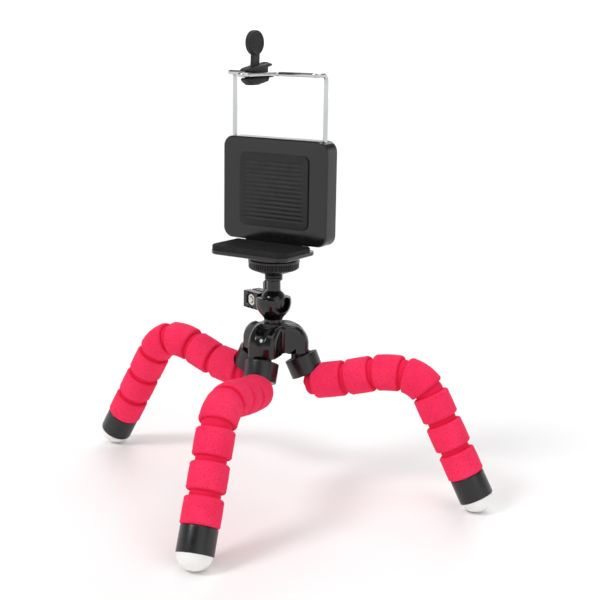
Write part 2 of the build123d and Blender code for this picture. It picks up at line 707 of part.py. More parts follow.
def clamp_screw():
    """Screw from the nut through both ears into the wing knob."""
    across_ears = heading(NOTCH_AZIMUTH + 90)
    start = -EAR_HALF + NUT_SET / 2
    return rod(ear_point(start, CLAMP_R, BALL_Z + CLAMP_RISE), across_ears, CLAMP_D, CLAMP_TIP - start)


def wing_knob():
    """Round knob with two wings that clear the cup when it turns."""
    across_ears = heading(NOTCH_AZIMUTH + 90)
    axis_z = BALL_Z + CLAMP_RISE
    knob = rod(ear_point(KNOB_START, CLAMP_R, axis_z), across_ears, KNOB_D, KNOB_END - KNOB_START)
    tip = WING_R - WING_TAPER
    blade = make_face(Polyline(
        (-WING_ROOT_HALF, WING_ROOT_START), (WING_ROOT_HALF, WING_ROOT_START), (WING_R, WING_START),
        (tip, WING_END), (-tip, WING_END), (-WING_R, WING_START), close=True))
    frame = Plane(origin=ear_point(0, CLAMP_R, axis_z), x_dir=UP, z_dir=heading(NOTCH_AZIMUTH + 180))
    if frame.y_dir.dot(across_ears) < 0:
        frame = Plane(origin=frame.origin, x_dir=UP, z_dir=frame.z_dir * -1)
    wings = extrude(frame * blade, WING_THICK / 2, both=True)
    wings = fillet(wings.edges().filter_by(Axis(frame.origin, frame.z_dir)), WING_EDGE)
    turn = Axis(ear_point(0, CLAMP_R, axis_z), across_ears)
    tilt = WING_TILT if wing_leans_out(turn) else -WING_TILT
    wings = wings.rotate(turn, tilt)
    bore = rod(ear_point(0, CLAMP_R, axis_z), across_ears, CLAMP_D, CLAMP_TIP)
    return knob + wings - bore


def wing_leans_out(turn):
    """Whether a positive turn carries the upper wing away from the cup."""
    swing = turn.direction.cross(UP)
    return swing.dot(heading(NOTCH_AZIMUTH + 180)) > 0


def ball_stem():
    """Ball, shaft and flange, bored for the camera screw's rod."""
    body = ball(UP * BALL_Z, BALL_D)
    body += disc(STEM_D, BALL_Z, FLANGE_Z + FLANGE_H / 2)
    join = math.sqrt((BALL_D / 2) ** 2 - (STEM_D / 2 + STEM_FILLET) ** 2)
    body += Pos(0, 0, BALL_Z + join) * Cone(
        STEM_D / 2 + STEM_FILLET, STEM_D / 2, STEM_FILLET,
        align=(Align.CENTER, Align.CENTER, Align.MIN))
    flange = round_rims(disc(FLANGE_D, FLANGE_Z, RING_Z), FLANGE_H / 4)
    return body + flange - disc(ROD_D, RING_Z - ROD_DEPTH, RING_Z + PAST)


def camera_screw():
    """Thread that carries the holder, on a rod moulded into the stem."""
    thread = disc(QUARTER_D, RING_Z, BOSS_Z + SCREW_REACH)
    thread = chamfer(thread.edges().group_by(Axis.Z)[-1], THREAD_CHAMFER)
    return thread + disc(ROD_D, RING_Z - ROD_DEPTH, RING_Z + RING_H)


def rubber_ring():
    ring = round_rims(disc(RING_D, RING_Z, RING_Z + RING_H), RING_H / 4)
    return ring - disc(QUARTER_D, RING_Z - PAST, RING_Z + RING_H + PAST)


def lock_wheel():
    """Bowl-shaped wheel with an upright ribbed band and a smooth lip."""
    bowl_top = WHEEL_Z + WHEEL_BOWL_H
    band_top = bowl_top + WHEEL_BAND_H
    root = WHEEL_D / 2 - RIB_DEPTH
    bowl = Pos(0, 0, WHEEL_Z) * Cone(
        WHEEL_HUB_D / 2, root, WHEEL_BOWL_H, align=(Align.CENTER, Align.CENTER, Align.MIN))
    step = 360 / WHEEL_RIBS
    points = []
    for k in range(WHEEL_RIBS):
        for share, radius in (
                (-RIB_FOOT, root), (-RIB_CREST, WHEEL_D / 2), (RIB_CREST, WHEEL_D / 2), (RIB_FOOT, root)):
            spot = heading((k + share) * step) * radius
            points.append((spot.X, spot.Y))
    ribs = extrude(Plane.XY.offset(bowl_top) * make_face(Polyline(*points, close=True)), WHEEL_BAND_H)
    lip = round_rims(disc(WHEEL_LIP_D, band_top, WHEEL_TOP_Z), WHEEL_LIP_H / 3)
    wheel = bowl + ribs + lip
    return wheel - disc(QUARTER_D + 2 * QUARTER_CLEARANCE, WHEEL_Z - PAST, WHEEL_TOP_Z + PAST)


def jaw_outline(inset):
    """Plan of the lower jaw, wide at the front and rounded at its corners."""
    width = JAW_RIGHT - JAW_LEFT - 2 * inset
    depth = JAW_BACK - JAW_FRONT - 2 * inset
    centre = Pos((JAW_LEFT + JAW_RIGHT) / 2, (JAW_FRONT + JAW_BACK) / 2)
    return centre * RectangleRounded(width, depth, JAW_CORNER - inset)


def shell_block(low, high, inset):
    """Upright rounded block of the back shell between two depths."""
    height = SHELL_HEIGHT - 2 * inset
    middle = SHELL_Z + SHELL_HEIGHT / 2
    plan = Plane(origin=(0, low, middle), x_dir=(1, 0, 0), z_dir=(0, 1, 0))
    return extrude(plan * RectangleRounded(2 * (SHELL_HALF - inset), height, SHELL_CORNER - inset), high - low)


def fixing_points():
    middle = SHELL_Z + SHELL_HEIGHT / 2
    return [(sx * FIXING_X, middle + sz * FIXING_Z) for sx in (-1, 1) for sz in (-1, 1)]


def back_rod(x, z, start, diameter, length):
    """Level round bar that runs backwards from a depth."""
    return rod(Vector(x, start, z), Vector(0, 1, 0), diameter, length)


def holder_body():
    """Lower jaw plate, round boss and the front shell with its spring channels."""
    plate = extrude(Plane.XY.offset(JAW_Z) * jaw_outline(0), JAW_H)
    plate = fillet(plate.edges().group_by(Axis.Z)[0], JAW_EDGE)
    shell = shell_block(SHELL_FRONT, SHELL_BACK, 0)
    shell = fillet(shell.edges().group_by(Axis.Y)[0], SHELL_EDGE)
    link_w = JAW_RIGHT - JAW_LEFT - 2 * JAW_CORNER
    link = Pos((JAW_LEFT + JAW_RIGHT) / 2, (SHELL_FRONT + JAW_BACK) / 2, (JAW_Z + SHELL_Z) / 2 + PAST) * Box(
        link_w, JAW_BACK - SHELL_FRONT, SHELL_Z - JAW_Z + 2 * PAST)
    body = plate + shell + link + disc(BOSS_D, BOSS_Z, JAW_Z + PAST)
    floor = SHELL_Z + FLOOR_WALL
    ceiling = SHELL_TOP_Z - TOP_WALL
    room_half = WIRE_HALF - CHANNEL_D / 2 - SHELL_WALL
    room_front = SHELL_FRONT + SHELL_WALL
    body -= Pos(0, (room_front + SHELL_BACK) / 2 + PAST, (floor + ceiling) / 2) * Box(
        2 * room_half, SHELL_BACK - room_front + 2 * PAST, ceiling - floor)
    for side in (-1, 1):
        x = side * WIRE_HALF
        body -= rod(Vector(x, WIRE_Y, floor), UP, CHANNEL_D, ceiling - floor)
        body -= Pos(x, (WIRE_Y + SHELL_BACK) / 2 + PAST, (floor + ceiling) / 2) * Box(
            CHANNEL_D, SHELL_BACK - WIRE_Y + 2 * PAST, ceiling - floor)
        body -= rod(
            Vector(x, WIRE_Y, ceiling - PAST), UP, WIRE_D + 2 * WIRE_HOLE_CLEARANCE, TOP_WALL + 2 * PAST)
    for x, z in fixing_points():
        root = room_front - SHELL_WALL / 2
        body += back_rod(x, z, root, FIXING_BOSS_D, SHELL_BACK - root)
        body -= back_rod(x, z, SHELL_BACK - FIXING_LENGTH, FIXING_D, FIXING_LENGTH + PAST)
    return body - disc(INSERT_D, BOSS_Z - PAST, BOSS_Z + INSERT_H)


def back_cover():
    """Flat cover over the spring channels, sunk for four screws."""
    plate = shell_block(SHELL_BACK, COVER_BACK, 0)
    plate = fillet(plate.edges().group_by(Axis.Y)[-1], COVER_EDGE)
    for x, z in fixing_points():
        plate -= back_rod(x, z, SHELL_BACK - PAST, FIXING_D + 2 * FIXING_PLAY, COVER_H + 2 * PAST)
        plate -= back_rod(x, z, COVER_BACK - FIXING_HEAD_H, FIXING_HEAD_D + 2 * FIXING_PLAY, 2 * PAST)
    return plate


def cover_screws():
    screws = []
    for x, z in fixing_points():
        head_y = COVER_BACK - FIXING_HEAD_H
        head = back_rod(x, z, head_y, FIXING_HEAD_D, FIXING_HEAD_H - FIXING_PLAY)
        shank = back_rod(x, z, head_y - FIXING_LENGTH, FIXING_D, FIXING_LENGTH)
        slot = Pos(x, COVER_BACK, z) * Box(DRIVE_SPAN, 2 * DRIVE_DEPTH, DRIVE_W)
        cross = Pos(x, COVER_BACK, z) * Box(DRIVE_W, 2 * DRIVE_DEPTH, DRIVE_SPAN)
        screws.append(head + shank - slot - cross)
    return Compound(screws)


def thread_insert():
    """Brass insert with a groove round its middle."""
    top = BOSS_Z + INSERT_H
    groove = BOSS_Z + (INSERT_H - INSERT_GROOVE_W) / 2
    body = disc(INSERT_D, BOSS_Z, top)
    band = disc(INSERT_D + PAST, groove, groove + INSERT_GROOVE_W)
    body -= band - disc(INSERT_D - 2 * INSERT_GROOVE_DEPTH, BOSS_Z, top)
    return body - disc(QUARTER_D + 2 * QUARTER_CLEARANCE, BOSS_Z - PAST, top + PAST)


def lower_pad():
    """Rubber pad on the jaw plate, cut back where the shell stands."""
    pad = extrude(Plane.XY.offset(PAD_Z) * jaw_outline(PAD_INSET), PAD_H)
    behind = SHELL_FRONT - PAD_INSET
    shell_room = Pos(0, behind + SHELL_HALF, PAD_Z) * Box(2 * SHELL_HALF, 2 * SHELL_HALF, 3 * PAD_H)
    pad -= shell_room
    return fillet(pad.edges().group_by(Axis.Z)[-1], PAD_EDGE)


def back_pad():
    """Thin rubber pad that the phone's back rests on."""
    middle = SHELL_Z + SHELL_HEIGHT / 2
    plan = Plane(origin=(0, PHONE_BACK, middle), x_dir=(1, 0, 0), z_dir=(0, 1, 0))
    return extrude(plan * RectangleRounded(BACK_PAD_W, BACK_PAD_TALL, BACK_PAD_CORNER), BACK_PAD_H)


def frame_path():
    """Centreline of the bent wire from one leg's end to the other's."""
    low = STOP_Z - STOP_H / 2
    side = [
        (WIRE_HALF, WIRE_Y, low), (WIRE_HALF, WIRE_Y, WIRE_Z), (WIRE_HALF, BAR_Y, WIRE_Z),
        (LOOP_HALF, BAR_Y, WIRE_Z), (LOOP_HALF, LOOP_FRONT, WIRE_Z),
    ]
    points = [(-x, y, z) for x, y, z in side] + side[::-1]
    bends = [FRAME_BEND, FRAME_BEND, LOOP_BEND, LOOP_BEND]
    return FilletPolyline(*points, radius=bends + bends[::-1])


def wire_frame():
    path = frame_path()
    return sweep(Plane(origin=path @ 0, z_dir=path % 0) * Circle(WIRE_D / 2), path=path)


def wire_stops():
    """Washers riveted on the lower ends of the frame's legs."""
    stops = []
    for side in (-1, 1):
        start = Vector(side * WIRE_HALF, WIRE_Y, STOP_Z)
        stops.append(rod(start, UP, STOP_D, STOP_H) - rod(start - UP * PAST, UP, WIRE_D, STOP_H + 2 * PAST))
    return Compound(stops)


def spring_path(x):
    """Coil from biarcs, one to each quarter turn, round one leg of the frame."""
    low = STOP_Z + STOP_H + SPRING_GAP + SPRING_WIRE / 2
    high = SHELL_TOP_Z - TOP_WALL - SPRING_GAP - SPRING_WIRE / 2
    radius = (SPRING_D - SPRING_WIRE) / 2
    climb = (high - low) / SPRING_TURNS
    steep = math.atan2(climb, 2 * math.pi * radius)

    def spot(turn):
        return Vector(x, WIRE_Y, low + climb * turn) + heading(360 * turn) * radius

    def aim(turn):
        return heading(360 * turn + 90) * math.cos(steep) + UP * math.sin(steep)

    pieces = []
    for k in range(4 * SPRING_TURNS):
        a, b = k / 4, (k + 1) / 4
        chord = spot(b) - spot(a)
        spread = 2 * (1 - aim(a).dot(aim(b)))
        reach = chord.dot(aim(a) + aim(b))
        arm = (math.sqrt(reach ** 2 + spread * chord.dot(chord)) - reach) / spread
        meet = (spot(a) + spot(b) + (aim(a) - aim(b)) * arm) * 0.5
        through = (spot(b) - aim(b) * arm - spot(a) - aim(a) * arm).normalized()
        pieces.append(TangentArc(spot(a), meet, tangent=aim(a)))
        pieces.append(TangentArc(meet, spot(b), tangent=through))
    return Wire(pieces), climb - SPRING_WIRE


def clamp_springs():
    springs = []
    for side in (-1, 1):
        path, gap = spring_path(side * WIRE_HALF)
        springs.append(sweep(Plane(origin=path @ 0, z_dir=path % 0) * Circle(SPRING_WIRE / 2), path=path))
    print("clamp springs, least gap between turns:", round(gap, 2), "mm")
    return Compound(springs)


def jaw_point(pair):
    return (pair[0], JAW_TOP_Z + pair[1])


def jaw_slab(face, width):
    """Flat solid from a profile of depth and height, centred on the jaw's middle."""
    return extrude(Plane(origin=(0, 0, 0), x_dir=(0, 1, 0), z_dir=(1, 0, 0)) * face, width / 2, both=True)


def upper_jaw():
    """Rubber jaw round the wire loop: lower lip, upper lip, strap and round pull tab."""
    lip_top = WIRE_Z - WIRE_D / 2 - JAW_TO_WIRE
    lip_front = LOWER_TIP[0] + LIP_SLANT
    nose_back = (LOWER_NOSE[0] + NOSE_SLANT[0], JAW_TOP_Z + NOSE_SLANT[1])
    with BuildSketch() as lower:
        with BuildLine():
            Polyline(
                (lip_front, lip_top), jaw_point(LOWER_TIP), jaw_point(LOWER_CHIN), jaw_point(LOWER_TEETH),
                jaw_point(LOWER_NOSE), nose_back, jaw_point(LOWER_BACK), (LOWER_BACK[0], lip_top),
                (lip_front, lip_top))
        make_face()
    with BuildSketch() as upper:
        with BuildLine():
            start = jaw_point(UPPER_CHIN)
            under = jaw_point(UPPER_UNDER)
            end = jaw_point(UPPER_END)
            crown = jaw_point(UPPER_CROWN)
            front = jaw_point(UPPER_FRONT)
            tip = jaw_point(UPPER_TIP)
            Line(start, under)
            Line(under, end)
            Line(end, crown)
            Line(crown, front)
            Line(front, tip)
            Line(tip, start)
        make_face()
    body = jaw_slab(lower.sketch, JAW_WIDTH) + jaw_slab(upper.sketch, JAW_WIDTH)
    nose = Pos(0, LOWER_TIP[0] + JAW_WIDTH / 2, 0) * Cylinder(
        JAW_WIDTH / 2, 3 * GRIP, align=(Align.CENTER, Align.CENTER, Align.MIN))
    behind = Pos(0, (LOWER_TIP[0] + JAW_WIDTH) / 2, 1.5 * GRIP) * Box(
        JAW_WIDTH, -LOWER_TIP[0], 3 * GRIP)
    body = body & (nose + behind)
    web_low = lip_top - WEB_OVERLAP
    web = make_face(Polyline(
        (WEB_START, web_low), (WEB_END, web_low), (WEB_END, jaw_point(UPPER_UNDER)[1] + WEB_OVERLAP),
        (WEB_UNDER_START, jaw_point(UPPER_CHIN)[1] + WEB_OVERLAP), close=True))
    body += jaw_slab(web, WEB_W)
    tab_z = JAW_TOP_Z + TAB_RISE
    strap = make_face(Polyline(
        jaw_point((STRAP_FRONT, STRAP_ROOT_FRONT)), jaw_point((STRAP_BACK, STRAP_ROOT_BACK)),
        (STRAP_BACK, tab_z), (STRAP_FRONT, tab_z), close=True))
    body += jaw_slab(strap, STRAP_THICK)
    tab = rod(Vector(-TAB_THICK / 2, TAB_Y, tab_z), Vector(1, 0, 0), TAB_D, TAB_THICK)
    body += round_rims(tab, TAB_EDGE)
    for k in range(TOOTH_COUNT):
        share = (k + 0.5) / TOOTH_COUNT
        y = LOWER_CHIN[0] + (LOWER_TEETH[0] - LOWER_CHIN[0]) * share
        z = JAW_TOP_Z + LOWER_CHIN[1] + (LOWER_TEETH[1] - LOWER_CHIN[1]) * share
        body += rod(Vector(-TOOTH_LENGTH / 2, y, z + TOOTH_SET), Vector(1, 0, 0), TOOTH_D, TOOTH_LENGTH)
    return body


def save(name, shape):
    placed = Pos(AXIS_X, AXIS_Y, 0) * shape
    placed.label = name
    export_step(placed, f"parts/{name}.step")


def main():
    os.makedirs("parts", exist_ok=True)
    for leg in LEGS:
        save(f"{leg}_collar", collar(leg))
        for k in range(BEAD_COUNT):
            save(f"{leg}_foam_{k + 1}", foam_bead(leg, k))
        save(f"{leg}_end_cap", end_cap(leg))
        save(f"{leg}_foot", foot(leg))
        save(f"{leg}_core_wire", core_wire(leg))
    save("hub_body", hub_body())
    save("hub_screw", hub_screw())
    save("ball_cup", ball_cup())
    save("clamp_nut", clamp_nut())
    save("clamp_screw", clamp_screw())
    save("wing_knob", wing_knob())
    save("ball_stem", ball_stem())
    save("camera_screw", camera_screw())
    save("rubber_ring", rubber_ring())
    save("lock_wheel", lock_wheel())
    save("holder_body", holder_body())
    save("back_cover", back_cover())
    save("cover_screws", cover_screws())
    save("thread_insert", thread_insert())
    save("lower_pad", lower_pad())
    save("back_pad", back_pad())
    save("wire_frame", wire_frame())
    save("wire_stops", wire_stops())
    save("clamp_springs", clamp_springs())
    save("upper_jaw", upper_jaw())


main()
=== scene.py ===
import json
import math

import bmesh
import bpy
import numpy as np
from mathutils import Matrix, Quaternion, Vector


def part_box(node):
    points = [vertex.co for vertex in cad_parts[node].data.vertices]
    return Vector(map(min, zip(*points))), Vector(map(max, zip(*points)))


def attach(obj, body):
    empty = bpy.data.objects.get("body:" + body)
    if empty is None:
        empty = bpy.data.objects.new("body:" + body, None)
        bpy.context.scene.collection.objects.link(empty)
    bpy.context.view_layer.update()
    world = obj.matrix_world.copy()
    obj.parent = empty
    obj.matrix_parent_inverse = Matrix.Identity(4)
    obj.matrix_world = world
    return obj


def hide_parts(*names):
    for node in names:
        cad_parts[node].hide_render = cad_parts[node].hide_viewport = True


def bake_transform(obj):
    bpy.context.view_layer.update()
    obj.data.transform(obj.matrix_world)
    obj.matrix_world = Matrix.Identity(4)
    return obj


bl_info = {
    "name": "Bendable-leg phone tripod",
    "version": (1, 0, 0),
    "blender": (4, 5, 0),
    "location": "View3D > Sidebar > Tripod",
    "description": "Dresses the packed tripod with its foam, mouldings, rubber and metal",
    "category": "Object",
}

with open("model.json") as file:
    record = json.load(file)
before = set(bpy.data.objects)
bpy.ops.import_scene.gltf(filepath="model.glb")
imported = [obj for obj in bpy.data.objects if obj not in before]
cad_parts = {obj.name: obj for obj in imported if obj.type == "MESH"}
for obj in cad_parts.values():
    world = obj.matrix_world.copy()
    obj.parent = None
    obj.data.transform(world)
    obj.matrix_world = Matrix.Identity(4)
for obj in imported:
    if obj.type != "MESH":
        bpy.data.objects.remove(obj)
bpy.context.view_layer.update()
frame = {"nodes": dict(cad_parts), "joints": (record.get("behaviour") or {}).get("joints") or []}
JOINTS = {joint["name"]: joint for joint in frame["joints"]}
LEGS = ("right", "front", "left")
MM = 0.001
UP = np.array((0.0, 0.0, 1.0))
RIGHT = np.array((1.0, 0.0, 0.0))
FULL_TURN = 2 * math.pi
SHARP_EDGE = 32  # degrees between faces, past which a copied moulding's edge is rounded
SOCKET_DEPTH = 5.05 * MM  # from a barrel's upper face to the floor of its socket
NECK_TO_BARREL = 2.7 * MM  # from a neck's bend point to the first barrel's face
PLUG_LENGTH = 4 * MM  # of the last barrel, inside its end cap
# the quarter-inch thread of camera screws: half its diameter, its pitch and its depth
QUARTER_RADIUS, QUARTER_PITCH, QUARTER_DEPTH = 3.175 * MM, 1.27 * MM, 0.55 * MM
TAB_RADIUS = 5.45  # of the round pull tab, in mm

# the tripod's own axis at the floor, from the joint on which the ball head turns
AXIS = np.array(JOINTS["head_turn"]["pos_m"]) * (1, 1, 0)


def length_property(label, words, millimetres):
    return bpy.props.FloatProperty(
        name=label, description=words, default=millimetres * MM, unit="LENGTH", precision=5)


def colour_property(label, words, code):
    return bpy.props.FloatVectorProperty(
        name=label, description=words, default=linear(code)[:3], subtype="COLOR", min=0, max=1)


def linear(code):
    """Linear colour with alpha 1 from an sRGB hex code, by the sRGB transfer curve."""
    shares = [int(code[i:i + 2], 16) / 255 for i in (1, 3, 5)]
    return tuple(c / 12.92 if c <= 0.04045 else ((c + 0.055) / 1.055) ** 2.4 for c in shares) + (1.0,)


class TRIPOD_PG_legs(bpy.types.PropertyGroup):
    """Sizes of the foam legs, their collars, caps and feet."""

    barrel_diameter: length_property("Barrel", "Diameter of a foam barrel", 17.0)
    barrel_length: length_property("Barrel length", "Length of one foam barrel", 12.0)
    barrel_rim: length_property("Rim", "Rounding of a barrel's rims", 1.35)
    groove: length_property("Groove", "Gap between two barrels", 2.4)
    neck_diameter: length_property("Neck", "Diameter of the foam in a groove", 13.4)
    stub_diameter: length_property("Stub", "Diameter of the foam under a collar", 12.8)
    core_diameter: length_property("Core wire", "Diameter of the soft steel wire", 2.6)
    collar_top: length_property("Collar top", "Diameter of a collar's open end", 16.0)
    collar_bottom: length_property("Collar bottom", "Diameter of a collar's foam end", 15.6)
    collar_length: length_property("Collar length", "Length of a collar", 9.4)
    cap_diameter: length_property("Cap", "Diameter of an end cap and foot", 16.0)
    cap_length: length_property("Cap length", "Length of an end cap", 11.4)
    foam_colour: colour_property("Foam", "Colour of the foam", "#F02C57")


class TRIPOD_PG_finish(bpy.types.PropertyGroup):
    """Colours of the mouldings, rubber and feet."""

    moulding_colour: colour_property("Moulding", "Colour of the black ABS", "#0A0A0B")
    rubber_colour: colour_property("Rubber", "Colour of the black rubber", "#151516")
    foot_colour: colour_property("Feet", "Colour of the rubber feet", "#F2F1EE")


class TRIPOD_PG_stage(bpy.types.PropertyGroup):
    """Camera and light."""

    camera_x: length_property("Camera X", "Camera from the tripod's axis", 319.37)
    camera_y: length_property("Camera Y", "Camera from the tripod's axis", -470.07)
    camera_z: length_property("Camera Z", "Camera above the floor", 215.18)
    floor_colour: colour_property("Floor", "Colour of the floor", "#FAFAFA")


# ---- mesh building

def skin(name, points, wrap_rows, wrap_columns, cap_ends=False, groove=None):
    """Mesh over a grid of points.

    Each point is joined to its neighbours in the next row and the next column by
    four-cornered faces. A wrapped side joins the last row or column to the first, and
    cap_ends closes the first and the last row with one flat face each.
    """
    rows, columns = points.shape[:2]
    i = np.arange(rows if wrap_rows else rows - 1)
    j = np.arange(columns if wrap_columns else columns - 1)
    row, column = np.meshgrid(i, j, indexing="ij")
    below = (row + 1) % rows
    beside = (column + 1) % columns
    here, under = row * columns, below * columns
    corners = (here + column, under + column, under + beside, here + beside)
    faces = np.stack(corners, -1).reshape(-1, 4).tolist()
    if cap_ends:
        faces.append(np.arange(columns).tolist())
        faces.append(np.arange((rows - 1) * columns, rows * columns)[::-1].tolist())
    return solid(name, points.reshape(-1, 3), faces, groove=groove)


def solid(name, vertices, faces, smooth_angle=38, groove=None):
    """Object from points and faces: doubles merged, faces outwards, edges above the angle sharp.

    Groove is an optional share from 0 to 1 at each point, which the foam's painted groove shade reads.
    """
    mesh = bpy.data.meshes.new(name)
    mesh.from_pydata(np.asarray(vertices, float).tolist(), [], faces)
    if groove is not None:
        layer = mesh.attributes.new("groove", "FLOAT", "POINT")
        layer.data.foreach_set("value", np.ravel(groove).astype(np.float32))
    work = bmesh.new()
    work.from_mesh(mesh)
    bmesh.ops.remove_doubles(work, verts=work.verts, dist=MM / 500)
    bmesh.ops.dissolve_degenerate(work, edges=work.edges, dist=MM / 1000)
    bmesh.ops.recalc_face_normals(work, faces=work.faces)
    work.to_mesh(mesh)
    work.free()
    mesh.polygons.foreach_set("use_smooth", np.ones(len(mesh.polygons), bool))
    mesh.set_sharp_from_angle(angle=math.radians(smooth_angle))
    piece = bpy.data.objects.new(name, mesh)
    bpy.context.scene.collection.objects.link(piece)
    return piece


def arc(centre, radius, start, end, count):
    """Points of a circle's arc between two angles in degrees, as an array of pairs."""
    angle = np.radians(np.linspace(start, end, count))
    return np.stack((centre[0] + radius * np.cos(angle), centre[1] + radius * np.sin(angle)), -1)


def stretch(a, b, count):
    """Evenly spaced points from a to b, without b."""
    share = np.linspace(0, 1, count, endpoint=False)[:, None]
    return np.asarray(a, float) * (1 - share) + np.asarray(b, float) * share


def unit(vector):
    """A vector's direction, one long."""
    return np.asarray(vector, float) / np.linalg.norm(vector)


def bow(a, corner, b, count):
    """Quadratic curve from a to b that sets out towards the corner and arrives from it."""
    share = np.linspace(0, 1, count)[:, None]
    return (1 - share) ** 2 * a + 2 * share * (1 - share) * corner + share ** 2 * b


def softened(corners, radius, count=5):
    """Open line through corners given as pairs, with every inner corner rounded by a bow.

    The bow sets out one radius before the corner and ends one radius after it, or just
    short of the middle of a shorter side.
    """
    corners = np.asarray(corners, float)
    radii = np.broadcast_to(np.asarray(radius, float), len(corners) - 2)
    pieces = [corners[:1]]
    for before, corner, after, r in zip(corners[:-2], corners[1:-1], corners[2:], radii):
        back, on = before - corner, after - corner
        reach = min(r, np.linalg.norm(back) * 0.48, np.linalg.norm(on) * 0.48)
        pieces.append(bow(corner + unit(back) * reach, corner, corner + unit(on) * reach, count))
    pieces.append(corners[-1:])
    return np.concatenate(pieces)


def even_path(path, spacing):
    """The same path with extra points on its long straights."""
    pieces = []
    for a, b in zip(path[:-1], path[1:]):
        pieces.append(stretch(a, b, max(1, int(np.linalg.norm(b - a) / spacing))))
    pieces.append(path[-1:])
    return np.concatenate(pieces)


def across(direction):
    """Two unit vectors square to a direction and to each other."""
    direction = unit(direction)
    first = unit(np.cross(UP if abs(direction[2]) < 0.9 else RIGHT, direction))
    return first, np.cross(direction, first)


def grids(profile, sides):
    """Distance, radius and angle at every point of a profile that is carried round."""
    turn = np.linspace(0, FULL_TURN, sides, endpoint=False)
    return np.broadcast_arrays(profile[:, :1], profile[:, 1:], turn)


def turned(name, profile, base, direction, sides=96, ring=False, ripple=None):
    """Surface of revolution: a profile of (distance along the axis, radius) carried round it.

    The point at distance s and angle t is base + s * axis + r * (cos t * u + sin t * v).
    A ring's profile closes on itself. Ripple gives an extra radius from the grids of
    distance, radius and angle.
    """
    axis = unit(direction)
    u, v = across(axis)
    s, r, angle = grids(profile, sides)
    if ripple is not None:
        r = r + ripple(s, r, angle)
    points = (np.asarray(base) + s[..., None] * axis
              + (r * np.cos(angle))[..., None] * u + (r * np.sin(angle))[..., None] * v)
    return skin(name, points, ring, True)


def tube(name, path, radius, sides=24):
    """Round bar along a path: each point's ring lies square to the path's direction there.

    The rings' first direction is carried along the path by taking out its part along
    each new direction, so the tube doesn't twist.
    """
    path = np.asarray(path, float)
    ahead = np.gradient(path, axis=0)
    ahead /= np.linalg.norm(ahead, axis=1)[:, None]
    first = np.zeros_like(path)
    first[0] = across(ahead[0])[0]
    for i in range(1, len(path)):
        first[i] = unit(first[i - 1] - ahead[i] * (first[i - 1] @ ahead[i]))
    second = np.cross(ahead, first)
    return slab(name, path, radius, radius, first[:, None], second[:, None], 2, sides)


def slab(name, centres, wide, tall, u, v, power=4.0, sides=40):
    """Rounded slab along a row of centres: each section is a superellipse.

    A section's point at angle t is the centre, plus u times the width times |cos t|^(2/power),
    plus v times the height times |sin t|^(2/power), each with its cosine's or sine's sign.
    Power 2 is an ellipse, and a higher one is squarer.
    """
    t = np.linspace(0, FULL_TURN, sides, endpoint=False)
    points = np.asarray(centres, float)[:, None, :]
    for size, swing, direction in ((wide, np.cos(t), u), (tall, np.sin(t), v)):
        swing = np.sign(swing) * np.abs(swing) ** (2 / power)
        size = np.broadcast_to(size, len(centres))[:, None, None]
        points = points + size * swing[:, None] * np.asarray(direction, float)
    return skin(name, points, False, True, cap_ends=True)


def rounded_copy(node, name, body, finish, rounding, segments=3, clamped=True):
    """Finished copy of a CAD node: its loose triangles joined, its sharp edges rounded by millimetres."""
    source = frame["nodes"][node].data
    vertices = np.empty(len(source.vertices) * 3)
    source.vertices.foreach_get("co", vertices)
    corners = np.empty(len(source.loops), np.int32)
    source.loops.foreach_get("vertex_index", corners)
    triangles = corners.reshape(-1, 3)
    places, index = np.unique(np.round(vertices.reshape(-1, 3), 8), axis=0, return_inverse=True)
    piece = solid(name, places, index.reshape(-1)[triangles].tolist(), SHARP_EDGE)
    bevel = piece.modifiers.new("edge_rounding", "BEVEL")
    bevel.width = rounding * MM
    bevel.segments = segments
    bevel.limit_method = "ANGLE"
    bevel.angle_limit = math.radians(SHARP_EDGE)
    bevel.harden_normals = True
    bevel.use_clamp_overlap = clamped
    finish_piece(piece, body, finish, node)


def box_of(node):
    """Lower and upper corner of a CAD node's box, as two rows."""
    return np.array(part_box(node))


def coat(piece, finish):
    """Puts a finish on a piece, or on a CAD node that stays as it is."""
    piece.data.materials.clear()
    piece.data.materials.append(MATERIALS[finish])


def finish_piece(piece, body, finish, node=None):
    """Gives a piece its finish, its body unless it is blended, and hides the node it replaces."""
    coat(piece, finish)
    if body:
        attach(piece, body)
    if node:
        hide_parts(node)


def gentle_noise(a, b, seed):
    """Smooth unevenness between -1 and 1: the mean of six sine waves over two directions."""
    draw = np.random.default_rng(seed)
    total = np.zeros(np.broadcast(a, b).shape)
    for _ in range(6):
        turns, waves, phase = draw.integers(1, 6), draw.uniform(60, 420), draw.uniform(0, FULL_TURN)
        total += np.sin(turns * a + waves * b + phase)
    return total / 6


# ---- materials

def add_node(tree, kind, settings=None, links=None):
    """Adds a node, sets its properties or sockets by name, and links its sockets to others' outputs."""
    node = tree.nodes.new(kind)
    for key, value in (settings or {}).items():
        if isinstance(key, str) and hasattr(node, key):
            setattr(node, key, value)
        else:
            node.inputs[key].default_value = value
    for key, (other, output) in (links or {}).items():
        tree.links.new(other.outputs[output], node.inputs[key])
    return node


def new_material(name, settings):
    """Material with one Principled shader; its plain numbers are set on the shader's own sockets."""
    material = bpy.data.materials.new(name)
    material.use_nodes = True
    tree = material.node_tree
    tree.nodes.clear()
    shader = add_node(tree, "ShaderNodeBsdfPrincipled", settings)
    add_node(tree, "ShaderNodeOutputMaterial", links={"Surface": (shader, "BSDF")})
    place = add_node(tree, "ShaderNodeTexCoord")
    return material, tree, shader, place


def per_metre(millimetres):
    """Scale of a noise texture whose features are this far apart."""
    return 1 / (millimetres * MM)


def noise(tree, place, spacing, detail=3.0, rough=0.55, output="Object"):
    return add_node(tree, "ShaderNodeTexNoise",
                    {"Scale": per_metre(spacing), "Detail": detail, "Roughness": rough},
                    {"Vector": (place, output)})


